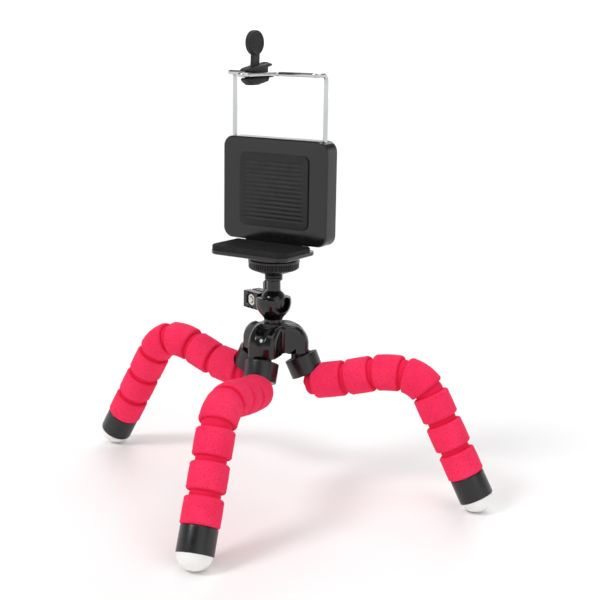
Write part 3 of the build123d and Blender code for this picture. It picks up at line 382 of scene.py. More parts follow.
def remap(tree, source, output, low, high, new_low, new_high):
    """Numbers from low to high moved to new_low to new_high, and held at the ends."""
    return add_node(tree, "ShaderNodeMapRange",
                    {"From Min": low, "From Max": high, "To Min": new_low, "To Max": new_high},
                    {"Value": (source, output)})


def two_colours(tree, factor, output, first, second):
    """Mix of two colours by a factor; the first one may be an earlier mix."""
    plain, links = {"data_type": "RGBA", 7: second}, {0: (factor, output)}
    if isinstance(first, tuple):
        plain[6] = first
    else:
        links[6] = (first, 2)
    return add_node(tree, "ShaderNodeMix", plain, links)


def drive(tree, shader, socket, node, output):
    """Links a node's output to a socket of the shader."""
    tree.links.new(node.outputs[output], shader.inputs[socket])


def nbr_foam(colour):
    """NBR foam, moulded and ground: matte, soft sheen, with small open cells on its face, and shade painted
    darker inside its grooves.
    """
    material, tree, shader, place = new_material("NBR foam, ground", {
        "IOR": 1.4, "Sheen Weight": 0.1, "Sheen Roughness": 0.5, "Specular IOR Level": 0.15,
        "Sheen Tint": (1.0, 0.2, 0.35, 1.0)})
    base = tuple(colour) + (1.0,)
    deep = tuple(c * 0.7 for c in colour) + (1.0,)
    bright = (min(1, colour[0] * 1.1), colour[1] * 1.5, colour[2] * 1.25, 1.0)
    # painted shade: the foam inside a groove is coloured darker than the ground faces, as shade falls there
    painted_groove_shade = (colour[0] * 0.93, colour[1] * 0.6, colour[2] * 0.75, 1.0)
    # clouds of 14 mm in the dye, and cells of 0.6 mm, drawn as coarse as they need to show
    cloud = remap(tree, noise(tree, place, 14.0, 2.0), "Fac", 0.3, 0.7, 0.0, 1.0)
    cells = noise(tree, place, 0.6, 2.0, 0.6)
    dyed = two_colours(tree, cloud, "Result", base, bright)
    speck = remap(tree, cells, "Fac", 0.30, 0.46, 0.8, 0.0)
    flecked = two_colours(tree, speck, "Result", dyed, deep)
    # painted shade: the groove share stored on each barrel's mesh mixes in the darker groove colour
    depth = add_node(tree, "ShaderNodeAttribute", {"attribute_name": "groove"})
    drive(tree, shader, "Base Color", two_colours(tree, depth, "Fac", flecked, painted_groove_shade), 2)
    drive(tree, shader, "Roughness", remap(tree, cells, "Fac", 0.3, 0.7, 0.92, 0.74), "Result")
    pits = add_node(tree, "ShaderNodeTexVoronoi", {"Scale": per_metre(0.6)}, {"Vector": (place, "Object")})
    grain = add_node(tree, "ShaderNodeMath", {"operation": "ADD"},
                     {0: (cells, "Fac"), 1: (remap(tree, pits, "Distance", 0.0, 0.6, 0.0, 0.35), "Result")})
    bump = add_node(tree, "ShaderNodeBump", {"Strength": 0.5, "Distance": 0.12 * MM}, {"Height": (grain, 0)})
    drive(tree, shader, "Normal", bump, "Normal")
    return material


def moulded(name, colour, rough_low, rough_high, grain_mm, grain_depth, peel_depth, settings=None):
    """Moulded surface: slow waves of shrinkage and the fine grain of the mould's face."""
    plain = {"Base Color": tuple(colour) + (1.0,), "IOR": 1.53}
    plain.update(settings or {})
    material, tree, shader, place = new_material(name, plain)
    peel = noise(tree, place, 3.5, 1.0)
    grain = noise(tree, place, grain_mm, 2.0, 0.6)
    # rub marks of 6 mm from handling change the gloss a little
    rub = noise(tree, place, 6.0, 5.0, 0.7)
    drive(tree, shader, "Roughness", remap(tree, rub, "Fac", 0.35, 0.7, rough_low, rough_high), "Result")
    first = add_node(tree, "ShaderNodeBump", {"Strength": 0.4, "Distance": peel_depth * MM},
                     {"Height": (peel, "Fac")})
    second = add_node(tree, "ShaderNodeBump", {"Strength": 0.6, "Distance": grain_depth * MM},
                      {"Height": (grain, "Fac"), "Normal": (first, "Normal")})
    drive(tree, shader, "Normal", second, "Normal")
    return material


def metal(name, code, rough_low, rough_high, streak_mm, depth, stretch_z=1.0):
    """Metal surface: a tint, streaks of polish or drawing, and a slight unevenness."""
    material, tree, shader, place = new_material(name, {"Metallic": 1.0, "Base Color": linear(code)})
    drawn_out = add_node(tree, "ShaderNodeMapping", {"Scale": (1.0, 1.0, stretch_z)},
                         {"Vector": (place, "Object")})
    streak = noise(tree, drawn_out, streak_mm, 4.0, 0.5, "Vector")
    drive(tree, shader, "Roughness", remap(tree, streak, "Fac", 0.3, 0.7, rough_low, rough_high), "Result")
    bump = add_node(tree, "ShaderNodeBump", {"Strength": 0.4, "Distance": depth * MM},
                    {"Height": (streak, "Fac")})
    drive(tree, shader, "Normal", bump, "Normal")
    return material


MATERIALS = {}


def make_materials(scene):
    """Every finish on the tripod, each named for what the real one is."""
    legs, finish = scene.tripod_legs, scene.tripod_finish
    black, rubber = finish.moulding_colour, finish.rubber_colour
    MATERIALS.update({
        "foam": nbr_foam(legs.foam_colour),
        # polished mould: clear gloss with soft waves
        "gloss": moulded("ABS, polished mould", black, 0.1, 0.2, 0.5, 0.003, 0.02),
        # the collars and caps come from a fine spark-eroded mould: a satin face
        "satin": moulded("ABS, spark-eroded mould", black, 0.26, 0.36, 0.22, 0.012, 0.02),
        "rubber": moulded("TPE rubber, moulded", rubber, 0.46, 0.62, 0.3, 0.03, 0.05,
                          {"IOR": 1.5, "Specular IOR Level": 0.4}),
        # pebbled grip face, grain of 0.8 mm
        "pad": moulded("Nitrile rubber, pebbled", rubber, 0.55, 0.75, 0.8, 0.16, 0.08,
                       {"IOR": 1.5, "Specular IOR Level": 0.25}),
        "foot": moulded("TPR rubber, translucent", finish.foot_colour, 0.3, 0.42, 0.4, 0.01, 0.03,
                        {"IOR": 1.48, "Subsurface Weight": 0.35, "Subsurface Scale": 2 * MM,
                         "Subsurface Radius": (1.0, 0.95, 0.9)}),
        "chrome": metal("Chromed steel wire", "#C4C6C8", 0.04, 0.1, 2.5, 0.004),
        "nickel": metal("Nickel-plated steel", "#D5D2CB", 0.18, 0.32, 0.8, 0.01),
        "zinc": metal("Zinc-plated steel", "#B4B6BA", 0.26, 0.42, 0.5, 0.015),
        "spring": metal("Spring steel, drawn", "#9A9CA0", 0.25, 0.4, 0.4, 0.01, 0.1),
        "brass": metal("Brass, turned", "#C9A35C", 0.2, 0.34, 0.4, 0.012, 8.0),
    })
    MATERIALS["core"] = MATERIALS["spring"]


# ---- legs

def leg_line(leg, settings):
    """Barrels of one leg from its joints.

    The joints give the neck and the six groove points. A groove's rest bend is minus the
    middle of its range, and a barrel that starts at rise a and whose two grooves lie on a
    line at rise c bends by 2 * (c - a), because a steady bend is symmetric.
    """
    joints = [JOINTS[f"{leg}_neck_bend"]] + [JOINTS[f"{leg}_groove_{k}"] for k in range(1, 7)]
    points = [np.array(joint["pos_m"]) for joint in joints]
    side = np.array(joints[1]["axis"])
    forward = np.cross(UP, side)

    def aim(rise):
        return forward * math.cos(rise) + UP * math.sin(rise)

    def line_rise(a, b):
        return math.atan2((b - a)[2], (b - a) @ forward)

    half = settings.groove / 2
    rise = line_rise(points[0], points[1])
    start = points[0] + aim(rise) * NECK_TO_BARREL
    barrels = [(start, rise, np.linalg.norm(points[1] - start) - half, 0.0)]
    for k in range(1, 6):
        rise -= math.radians(sum(joints[k]["range_deg"]) / 2)
        bend = 2 * (line_rise(points[k], points[k + 1]) - rise)
        bend = bend if abs(bend) > 1e-3 else 0.0
        start = points[k] + aim(rise) * half
        end = points[k + 1] - aim(rise + bend) * half
        chord = np.linalg.norm(end - start)
        barrels.append((start, rise, chord * (bend / 2) / math.sin(bend / 2) if bend else chord, bend))
        rise += bend
    rise -= math.radians(sum(joints[6]["range_deg"]) / 2)
    barrels.append((points[6] + aim(rise) * half, rise, settings.barrel_length, 0.0))
    return {"barrels": barrels, "points": points, "forward": forward, "side": side, "aim": aim}


def centreline(line, barrel, s):
    """Centre and upward direction at distance s: a steady arc within the barrel, straight beyond it."""
    start, rise, length, bend = barrel
    inside = np.clip(s, 0, length)
    turn = rise + bend * inside / length
    if bend:
        radius = length / bend
        ahead = radius * (np.sin(turn) - math.sin(rise))
        climb = radius * (math.cos(rise) - np.cos(turn))
    else:
        ahead = inside * math.cos(rise)
        climb = inside * math.sin(rise)
    beyond = s - inside
    ahead = ahead + beyond * np.cos(turn)
    climb = climb + beyond * np.sin(turn)
    forward = line["forward"]
    centre = start + ahead[..., None] * forward + climb[..., None] * UP
    upward = -np.sin(turn)[..., None] * forward + np.cos(turn)[..., None] * UP
    return centre, upward


def barrel_points(line, barrel, profile, sides, seed, uneven):
    """Grid of a barrel's surface: centre(s) + r * (cos t * upward(s) + sin t * side)."""
    s, r, t = grids(profile, sides)
    r = r + uneven * gentle_noise(t, s, seed) * np.clip(r / (6 * MM) - 0.6, 0, 1)
    centre, upward = centreline(line, barrel, s)
    return centre + (r * np.cos(t))[..., None] * upward + (r * np.sin(t))[..., None] * line["side"]


def barrel_profile(settings, length, index, last):
    """Closed outline of a barrel as (distance, radius) in metres, from its bore out and back."""
    outer, rim = settings.barrel_diameter / 2, settings.barrel_rim
    neck, half = settings.neck_diameter / 2, settings.groove / 2
    bore = settings.core_diameter / 2 + 0.3 * MM
    if index == 0:
        stub, tail, turn, ball = settings.stub_diameter / 2, -3.8 * MM, 1.2 * MM, 3.7 * MM
        upper = [
            arc((-NECK_TO_BARREL, 0), ball, 180, 107, 10),
            arc((tail + turn, stub - turn), turn, 180, 90, 6),
            stretch((tail + 1.5 * MM, stub), (0, stub), 4),
            stretch((0, stub + 0.1 * MM), (0, outer - rim), 4)]
        inner = [[(0, bore), (0, bore / 2), (0, 0)]]
    else:
        # the socket clears the knuckle that turns in it by 0.06 mm
        socket = neck + 0.06 * MM
        low = math.degrees(math.acos(SOCKET_DEPTH / socket + half / socket))
        high = math.degrees(math.acos(half / socket))
        upper = [
            stretch((SOCKET_DEPTH, bore), (SOCKET_DEPTH, 2.5 * MM), 3),
            arc((-half, 0), socket, low, high, 12),
            stretch((0, neck + 0.1 * MM), (0, outer - rim), 3)]
        inner = []
    # the ground face is a little crowned between its rims
    face, crown = stretch((rim, outer), (length - rim, outer), 26)[1:], 0.1 * MM
    face[:, 1] += crown * np.sin(math.pi * (face[:, 0] - rim) / (length - 2 * rim)) - crown
    middle = [arc((rim, outer - rim), rim, 180, 90, 8), face, arc((length - rim, outer - rim), rim, 90, 0, 8)]
    if last:
        plug, tip = 6.5 * MM, length + PLUG_LENGTH
        lower = [
            stretch((length, outer - rim), (length, plug), 3)[1:],
            stretch((length, plug), (tip, plug), 4),
            stretch((tip, plug), (tip, bore), 4)]
    else:
        # the knuckle: a ball about the groove's point, cut off by a cone that opens its mouth
        tip, at_face, at_mouth = length, math.degrees(math.acos(-half / neck)), 42.5
        mouth = (length + half + 4.94 * MM, 4.52 * MM)
        lower = [
            stretch((length, outer - rim), (length, neck), 3)[1:],
            arc((length + half, 0), neck, at_face, at_mouth, 18),
            stretch(mouth, (length, bore + 0.2 * MM), 5)[1:]]
    wall = stretch((tip, bore), (0.0 if index == 0 else SOCKET_DEPTH, bore), 16)
    return np.concatenate(upper + middle + lower + [wall] + inner)


def pressed_by_collar(points, neck, up_collar, radius):
    """Foam under a collar, pressed flat.

    A point higher along the collar's axis than its lower face is moved down to the face,
    and beside the collar the allowed height climbs steeply.
    """
    from_neck = points - neck
    height = from_neck @ up_collar
    aside = np.linalg.norm(from_neck - height[..., None] * up_collar, axis=-1)
    face, slope = 3.85 * MM, 5.0
    allowed = face + slope * np.maximum(0, aside - radius)
    return points - np.maximum(0, height - allowed)[..., None] * up_collar


class TRIPOD_OT_foam_legs(bpy.types.Operator):
    """Foam barrels: a closed outline carried along each barrel's straight or bent centreline."""

    bl_idname = "tripod.foam_legs"
    bl_label = "Foam barrels"

    def execute(self, context):
        settings = context.scene.tripod_legs
        for number, leg in enumerate(LEGS):
            line = leg_line(leg, settings)
            collar_up = -collar_axis(leg)[1]
            for k, barrel in enumerate(line["barrels"]):
                profile = barrel_profile(settings, barrel[2], k, k == 6)
                seed, uneven = 10 * number + k, 0.07 * MM
                points = barrel_points(line, barrel, profile, 112, seed, uneven)
                if k == 0:
                    radius = settings.collar_bottom / 2 + 0.15 * MM
                    points = pressed_by_collar(points, line["points"][0], collar_up, radius)
                # painted shade: how deep each point lies in a groove, which darkens the foam's colour there
                depth = (settings.barrel_diameter / 2 - 0.3 * MM - profile[:, 1]) / (0.9 * MM)
                groove = np.repeat(np.clip(depth, 0, 1)[:, None], points.shape[1], 1)
                piece = skin(f"{leg}_barrel_{k + 1}", points, k > 0, True, groove=groove)
                finish_piece(piece, f"{leg}_segment_{k + 1}", "foam", f"{leg}_foam_{k + 1}")
        return {"FINISHED"}


def collar_axis(leg):
    """Centre of a collar's open end, its downward axis and the neck's bend point."""
    swivel = np.array(JOINTS[f"{leg}_leg_swivel"]["pos_m"])
    neck = np.array(JOINTS[f"{leg}_neck_bend"]["pos_m"])
    top = swivel - UP * 2.4 * MM
    return top, unit(neck - top), neck


class TRIPOD_OT_core_wires(bpy.types.Operator):
    """Core wires: a tube in each collar, round each neck's bend and through each barrel."""

    bl_idname = "tripod.core_wires"
    bl_label = "Core wires"

    def execute(self, context):
        settings = context.scene.tripod_legs
        radius, in_cap = settings.core_diameter / 2, 5.2 * MM
        for leg in LEGS:
            top, down, neck = collar_axis(leg)
            line = leg_line(leg, settings)
            base = top + down * settings.collar_length
            # from the collar's floor to its lower end
            upper = tube(f"{leg}_core_top", [top + down * 5 * MM, top + down * 7 * MM, base], radius)
            finish_piece(upper, f"{leg}_collar", "core", f"{leg}_core_wire")
            ahead = line["aim"](line["barrels"][0][1])
            reach = np.linalg.norm(neck - base)
            below = neck + ahead * reach
            curve = tube(f"{leg}_core_bend", bow(base, neck, below, 17), radius)
            finish_piece(curve, None, "core")
            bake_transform(curve)
            for k, barrel in enumerate(line["barrels"]):
                low = reach - NECK_TO_BARREL if k == 0 else -settings.groove / 2
                high = barrel[2] + (settings.groove / 2 if k < 6 else in_cap)
                centre, _ = centreline(line, barrel, np.linspace(low, high, 14))
                wire = tube(f"{leg}_core_{k + 1}", centre, radius)
                finish_piece(wire, f"{leg}_segment_{k + 1}", "core")
        return {"FINISHED"}


class TRIPOD_OT_collars(bpy.types.Operator):
    """Collars: a leaning cup turned on its own axis, and an upright spigot turned in the hub's arm."""

    bl_idname = "tripod.collars"
    bl_label = "Collars"

    def execute(self, context):
        settings = context.scene.tripod_legs
        for leg in LEGS:
            top, down, _ = collar_axis(leg)
            high, low = settings.collar_top / 2 / MM, settings.collar_bottom / 2 / MM
            length, floor, bore, lip, wall = settings.collar_length / MM, 5.0, 1.3, 0.15, 1.3
            inside = high - wall
            # a ring's outline starts and ends on one straight, here the cup's inner wall
            loop = [(2.5, inside), (lip, inside), (lip, high), (length, low), (length, bore), (floor, bore),
                    (floor, inside), (2.6, inside)]
            profile = softened(loop, [0.25, 0.6, 0.5, 0.2, 0.2, 0.6], 6) * MM
            cup = turned(f"{leg}_collar_cup", profile, top, down, 112, ring=True)
            finish_piece(cup, f"{leg}_collar", "satin", f"{leg}_collar")
            swivel = np.array(JOINTS[f"{leg}_leg_swivel"]["pos_m"])
            foot = (top[2] - swivel[2] - (floor + 1.6) * MM) / MM
            post = [(foot, 0), (foot, 4.5), (-0.05, 4.5), (-0.05, 2.3), (4.4, 2.3), (4.4, 2.6), (5.2, 2.6),
                    (5.6, 2.2), (5.6, 0)]
            spigot = turned(f"{leg}_spigot", softened(post, 0.2, 4) * MM, swivel, UP, 64)
            finish_piece(spigot, f"{leg}_collar", "satin")
        return {"FINISHED"}


class TRIPOD_OT_caps_and_feet(bpy.types.Operator):
    """End caps and rubber domes, each turned on its leg's line."""

    bl_idname = "tripod.caps_and_feet"
    bl_label = "End caps and feet"

    def execute(self, context):
        settings = context.scene.tripod_legs
        outer, length = settings.cap_diameter / 2 / MM, settings.cap_length / MM
        seat, rim, plug, set_in = 6.6, length - 1.5, 5.1, 2.6
        cap = [(5.2, 0), (5.2, 1.3), (4, 1.3), (4, 6.5), (0, 6.5), (0, outer), (length, outer),
               (length, seat), (rim, seat), (rim, plug), (rim - set_in, plug), (rim - set_in, 0)]
        roundings = [0.1, 0.1, 0.1, 0.15, 0.55, 0.5, 0.2, 0.1, 0.1, 0.1]
        dome_edge = math.degrees(math.asin(1.5 / outer))
        foot = np.concatenate((
            [(-set_in, 0), (-set_in, plug), (0, plug), (0, seat), (1.5, seat)],
            arc((0, 0), outer, 90 - dome_edge, 0, 40)))
        for leg in LEGS:
            line = leg_line(leg, settings)
            start, rise, reach, _ = line["barrels"][6]
            ahead = line["aim"](rise)
            end = start + ahead * reach
            piece = turned(f"{leg}_end_cup", softened(cap, roundings, 6) * MM, end, ahead, 112)
            finish_piece(piece, f"{leg}_segment_7", "satin", f"{leg}_end_cap")
            dome = turned(f"{leg}_dome", foot * MM, end + ahead * rim * MM, ahead, 112)
            finish_piece(dome, f"{leg}_segment_7", "foot", f"{leg}_foot")
        return {"FINISHED"}


# ---- hub and ball head

def thread(pitch, depth, start, end):
    """Ripple of a screw thread: depth times a rounded zigzag that climbs one pitch a turn.

    It fades in over one pitch at both ends, and leaves the points near the axis alone.
    """
    def ripple(s, r, angle):
        turn = (s / pitch - angle / FULL_TURN) % 1
        ridge = np.clip(np.abs(turn - 0.5) * 2.6 - 0.15, 0, 1)
        ends = np.clip(np.minimum(s - start, end - s) / pitch, 0, 1)
        return -depth * (1 - ridge) * ends * (r > depth)
    return ripple


def hexagonal(flat):
    """Function that gives a hexagon's radius at each angle, from its width across the flats."""
    def radius(angle):
        within = (angle + math.pi / 6) % (math.pi / 3) - math.pi / 6
        return flat / 2 / np.cos(within)
    return radius


class TRIPOD_OT_hub(bpy.types.Operator):
    """Hub moulding with rounded edges, and the threaded bolt that holds the ball head."""

    bl_idname = "tripod.hub"
    bl_label = "Hub"

    def execute(self, context):
        rounded_copy("hub_body", "hub_moulding", "hub", "gloss", 0.3)
        low, high = box_of("hub_screw")[:, 2]
        length, head, corner, tip = high - low, 3.6 * MM, 5.55 * MM, 0.5 * MM
        shank = QUARTER_RADIUS
        profile = np.concatenate((
            [(0, 0), (0, 4.2 * MM), (0, 5.0 * MM), (0.35 * MM, corner), (head - 0.1 * MM, corner),
             (head, corner - 0.1 * MM), (head, shank)],
            stretch((head, shank), (length - tip, shank), 90)[1:],
            [(length - tip, shank), (length, shank - tip), (length, 0)]))
        flats = hexagonal(2 * corner)
        ridge = thread(QUARTER_PITCH, QUARTER_DEPTH, head, length)

        def ripple(s, r, angle):
            on_head = (s < head + MM / 100) & (r > 4.5 * MM)
            on_shank = s > head + MM / 10
            return np.where(on_head, r * (flats(angle) / corner - 1), ridge(s, r, angle) * on_shank)

        bolt = turned("hub_bolt", profile, AXIS + UP * low, UP, ripple=ripple)
        finish_piece(bolt, "hub", "zinc", "hub_screw")
        return {"FINISHED"}


class TRIPOD_OT_ball_head(bpy.types.Operator):
    """Split cup, turned ball stem, rubber ring and the threaded camera screw."""

    bl_idname = "tripod.ball_head"
    bl_label = "Ball head"

    def execute(self, context):
        rounded_copy("ball_cup", "split_cup", "ball_cup", "gloss", 0.3, clamped=False)
        centre = np.array(JOINTS["ball_tilt"]["pos_m"])
        ball, shaft, flange = 6.3, 3.2, 4.15
        join = math.degrees(math.asin(4.0 / ball))
        profile = np.concatenate((
            arc((0, 0), ball, 180, join, 60),
            softened([(4.87, 4.0), (5.5, shaft + 0.05), (9.7, shaft), (10.4, shaft + 0.1), (10.5, flange),
                      (11.75, flange), (11.8, 1.6)], [0.6, 0.8, 0.4, 0.35, 0.3], 7),
            [(11.8, 1.6), (11.8, 0)]))

        def seam(s, r, angle):
            # the mould's parting line stands 0.06 mm proud on two sides
            off = (angle - 2.2) % math.pi
            off = np.minimum(off, math.pi - off) * r
            return 0.06 * MM * np.exp(-(off / (0.25 * MM)) ** 2)

        stem = turned("ball_and_shaft", profile * MM, centre, UP, 256, ripple=seam)
        finish_piece(stem, "ball_stem", "gloss", "ball_stem")
        low, high = box_of("rubber_ring")[:, 2]
        tall, inside = (high - low) / MM, QUARTER_RADIUS / MM
        loop = [(tall / 2, inside), (0, inside), (0, flange), (tall, flange), (tall, inside),
                (tall / 2 + 0.01, inside)]
        profile = softened(loop, [0.15, 0.5, 0.5, 0.15], 7) * MM
        ring = turned("friction_ring", profile, AXIS + UP * low, UP, ring=True)
        finish_piece(ring, "ball_stem", "rubber", "rubber_ring")
        foot, top = box_of("camera_screw")[:, 2]
        rod, shoulder, radius, tip = 1.6 * MM, 9.6 * MM, QUARTER_RADIUS, 0.6 * MM
        length = top - foot
        profile = np.concatenate((
            [(0, 0), (0, rod), (shoulder, rod), (shoulder, radius)],
            stretch((shoulder, radius), (length - tip, radius), 110)[1:],
            [(length - tip, radius), (length, radius - tip), (length, 0)]))
        ridge = thread(QUARTER_PITCH, QUARTER_DEPTH, shoulder, length)
        screw = turned("camera_thread", profile, AXIS + UP * foot, UP, ripple=ridge)
        finish_piece(screw, "ball_stem", "zinc", "camera_screw")
        return {"FINISHED"}


class TRIPOD_OT_clamp_knob(bpy.types.Operator):
    """Wing knob, clamp screw and its nut."""

    bl_idname = "tripod.clamp_knob"
    bl_label = "Clamp knob"

    def execute(self, context):
        rounded_copy("wing_knob", "wing_knob_moulding", "clamp", "satin", 0.35, 4)
        rounded_copy("clamp_nut", "hexagon_nut", "ball_cup", "nickel", 0.25)
        joint = JOINTS["clamp_knob_turn"]
        axis, centre = np.array(joint["axis"]), np.array(joint["pos_m"])
        start, end, radius, tip = -4.2 * MM, 10.4 * MM, 1.5 * MM, 0.3 * MM
        profile = np.concatenate((
            [(start, 0), (start, radius - tip), (start + tip, radius)],
            stretch((start + tip, radius), (end, radius), 190)[1:],
            [(end, radius), (end, 0)]))
        ridge = thread(0.5 * MM, 0.2 * MM, start, end)
        screw = turned("clamp_thread", profile, centre, axis, 48, ripple=ridge)
        finish_piece(screw, "clamp", "nickel", "clamp_screw")
        return {"FINISHED"}


class TRIPOD_OT_lock_wheel(bpy.types.Operator):
    """Lock wheel: a turned bowl whose band carries sixty rounded ribs."""

    bl_idname = "tripod.lock_wheel"
    bl_label = "Lock wheel"

    ribs: bpy.props.IntProperty(name="Ribs", description="Ribs round the band", default=60, min=12)

    def execute(self, context):
        low, high = box_of("lock_wheel")[:, 2]
        tall = (high - low) / MM
        bore, hub, band, lip = 3.3, 4.5, 11.25, 12.1
        loop = [(1.0, bore), (0, bore), (0, hub), (2.7, band), (5.75, band), (5.85, lip), (tall, lip),
                (tall, bore), (1.1, bore)]
        profile = softened(loop, [0.2, 0.6, 1.3, 0.1, 0.15, 0.45, 0.2], 12)
        profile = even_path(profile, 0.3) * MM
        ribs = self.ribs

        def ripple(s, r, angle):
            # ribs 0.6 mm high that fade into the bowl below and stop at the lip
            wave = np.clip(np.cos(ribs * angle) * 1.4, -1, 1) * 0.5 + 0.5
            on = np.clip((s - 1.9 * MM) / (1.2 * MM), 0, 1) * (s < 5.8 * MM) * (r > 9 * MM)
            return 0.6 * MM * wave * on

        base = AXIS + UP * low
        wheel = turned("lock_wheel_knurled", profile, base, UP, ribs * 10, ring=True, ripple=ripple)
        finish_piece(wheel, "lock_wheel", "satin", "lock_wheel")
        return {"FINISHED"}


# ---- holder, wire frame and upper jaw

class TRIPOD_OT_holder(bpy.types.Operator):
    """Holder shell, back cover, cover screws and the brass insert."""

    bl_idname = "tripod.holder"
    bl_label = "Holder"

    def execute(self, context):
        rounded_copy("holder_body", "holder_shell", "holder", "gloss", 0.3)
        rounded_copy("back_cover", "rear_cover", "holder", "satin", 0.25)
        rounded_copy("cover_screws", "cross_head_screws", "holder", "zinc", 0.1, 2)
        coat(frame["nodes"]["thread_insert"], "brass")
        return {"FINISHED"}


def rounded_outline(half_x, half_y, corners, count):
    """Evenly spaced points round a rectangle whose four corners have their own radii.

    The corners go round from (+, +); each is a quarter of a circle, and the whole line is
    divided into equal steps of its length.
    """
    pieces = []
    for quarter, (radius, (sx, sy)) in enumerate(zip(corners, ((1, 1), (-1, 1), (-1, -1), (1, -1)))):
        centre = (sx * (half_x - radius), sy * (half_y - radius))
        pieces.append(arc(centre, radius, 90 * quarter, 90 * quarter + 90, 13))
    line = np.concatenate(pieces + [pieces[0][:1]])
    run = np.concatenate(([0.0], np.cumsum(np.linalg.norm(np.diff(line, axis=0), axis=1))))
    steps = np.linspace(0, run[-1], count, endpoint=False)
    return np.stack((np.interp(steps, run, line[:, 0]), np.interp(steps, run, line[:, 1])), -1)


def rubber_pad(name, outline, centre, u, v, thick, edge, relief, rings=72):
    """Flat pad with a rounded rim and a relief on its face.

    The outline is drawn smaller and smaller towards the middle, first under the pad, then
    up its side and round its rim, and then over its face, where relief(x, y) adds height
    that fades in from the rim.
    """
    reach = np.abs(outline).max(axis=0).mean()
    turn = np.radians(np.linspace(0, 90, 7))
    side = [(0.0, 0.0), (0.5, 0.0), (1.0, 0.0), (1.0, (thick - edge) / 2)]
    rim = [(1 - edge * (1 - math.cos(a)) / reach, thick - edge + edge * math.sin(a)) for a in turn]
    top = [(share, thick) for share in np.linspace(1 - 1.3 * edge / reach, 0, rings)]
    rows = np.array(side + rim + top)
    plan = rows[:, :1, None] * outline[None]
    height = np.repeat(rows[:, 1:], len(outline), 1)
    fade = np.clip((1 - rows[:, :1]) * reach / edge - 1.0, 0, 1) * (rows[:, 1:] >= thick)
    height = height + fade * relief(plan[..., 0], plan[..., 1])
    u, v = np.asarray(u, float), np.asarray(v, float)
    points = np.asarray(centre) + plan[..., :1] * u + plan[..., 1:] * v + height[..., None] * np.cross(u, v)
    return skin(name, points, False, True)


def pebbles(x, y):
    """Uneven grain 0.1 mm high: waves of about 1.1 mm in fourteen directions, squared at their crests."""
    draw = np.random.default_rng(5)
    total = np.zeros_like(x)
    for angle in np.linspace(0, math.pi, 14, endpoint=False):
        length = draw.uniform(0.8, 1.5) * MM
        along = x * math.cos(angle) + y * math.sin(angle)
        total += np.sin(FULL_TURN / length * along + draw.uniform(0, FULL_TURN))
    return 0.1 * MM * np.clip(total / 3.5, -1, 1) - 0.05 * MM


def grip_ribs(x, y):
    """Level ribs every 2 mm, with a plain margin: a cosine across the pad, flattened at its crests."""
    spacing, half_depth, half_x, half_y = 2 * MM, 0.14 * MM, 16.5 * MM, 14.5 * MM
    wave = np.clip(np.cos(FULL_TURN * y / spacing) * 1.8, -1, 1)
    inside = np.clip((half_x - np.abs(x)) / MM, 0, 1) * np.clip((half_y - np.abs(y)) / MM, 0, 1)
    return half_depth * (wave - 1) * inside


class TRIPOD_OT_pads(bpy.types.Operator):
    """Lower jaw pad with a pebbled face, and back pad with grip ribs."""

    bl_idname = "tripod.pads"
    bl_label = "Pads"

    def execute(self, context):
        low, high = box_of("lower_pad")
        middle, half = (low + high) / 2, (high - low) / 2
        square, round_front = 0.4 * MM, 4.75 * MM
        plan = rounded_outline(half[0], half[1], (square, square, round_front, round_front), 420)
        base, thick = (middle[0], middle[1], low[2]), high[2] - low[2]
        jaw = rubber_pad("lower_jaw_rubber", plan, base, RIGHT, (0, 1, 0), thick, 0.7 * MM, pebbles)
        finish_piece(jaw, "holder", "pad", "lower_pad")
        low, high = box_of("back_pad")
        middle, half = (low + high) / 2, (high - low) / 2
        plan = rounded_outline(half[0], half[2], (3 * MM,) * 4, 400)
        base, thick = (middle[0], high[1], middle[2]), high[1] - low[1]
        rest = rubber_pad("back_rest_rubber", plan, base, RIGHT, UP, thick, 0.3 * MM, grip_ribs, 110)
        finish_piece(rest, "holder", "rubber", "back_pad")
        return {"FINISHED"}


def rounded_path(corners, radii, count=14):
    """Path through corners in space, each inner corner replaced by a circle's arc.

    An arc of radius R leaves the corner at R / tan(half the corner's angle); its points
    turn about the centre that lies on the corner's bisector.
    """
    corners = np.asarray(corners, float)
    pieces = [corners[:1]]
    for before, corner, after, radius in zip(corners[:-2], corners[1:-1], corners[2:], radii):
        back, on = unit(before - corner), unit(after - corner)
        half = math.acos(np.clip(back @ on, -1, 1)) / 2
        start = corner + back * radius / math.tan(half)
        middle = corner + unit(back + on) * radius / math.sin(half)
        spoke = start - middle
        rim = corner + on * radius / math.tan(half) - middle
        turn = math.pi - 2 * half
        square = (rim - spoke * math.cos(turn)) / math.sin(turn)
        t = np.linspace(0, turn, count)[:, None]
        pieces.append(middle + spoke * np.cos(t) + square * np.sin(t))
    pieces.append(corners[-1:])
    return np.concatenate(pieces)


class TRIPOD_OT_wire_frame(bpy.types.Operator):
    """Chromed wire bent up from the holder, across and forward in a narrow loop."""

    bl_idname = "tripod.wire_frame"
    bl_label = "Wire frame"

    def execute(self, context):
        low, high = box_of("wire_frame")
        wire, bar_bend, loop_bend = 2.1 * MM, 2.8 * MM, 2.15 * MM
        top = high[2] - wire / 2
        half = (high[0] - low[0]) / 2 - wire / 2
        back, front = high[1] - wire / 2, low[1] + wire / 2
        bar, loop = AXIS[1] - 3.0 * MM, 2.2 * MM
        side = [(half, back, low[2]), (half, back, top), (half, bar, top), (loop, bar, top),
                (loop, front, top)]
        right = [(AXIS[0] + a, b, c) for a, b, c in side]
        left = [(AXIS[0] - a, b, c) for a, b, c in side]
        radii = [bar_bend, bar_bend, loop_bend, loop_bend]
        path = even_path(rounded_path(left + right[::-1], radii + radii[::-1]), 1.5 * MM)
        piece = tube("bent_wire", path, wire / 2, 28)
        finish_piece(piece, "jaw", "chrome", "wire_frame")
        rounded_copy("wire_stops", "riveted_stops", "jaw", "zinc", 0.12, 2)
        return {"FINISHED"}


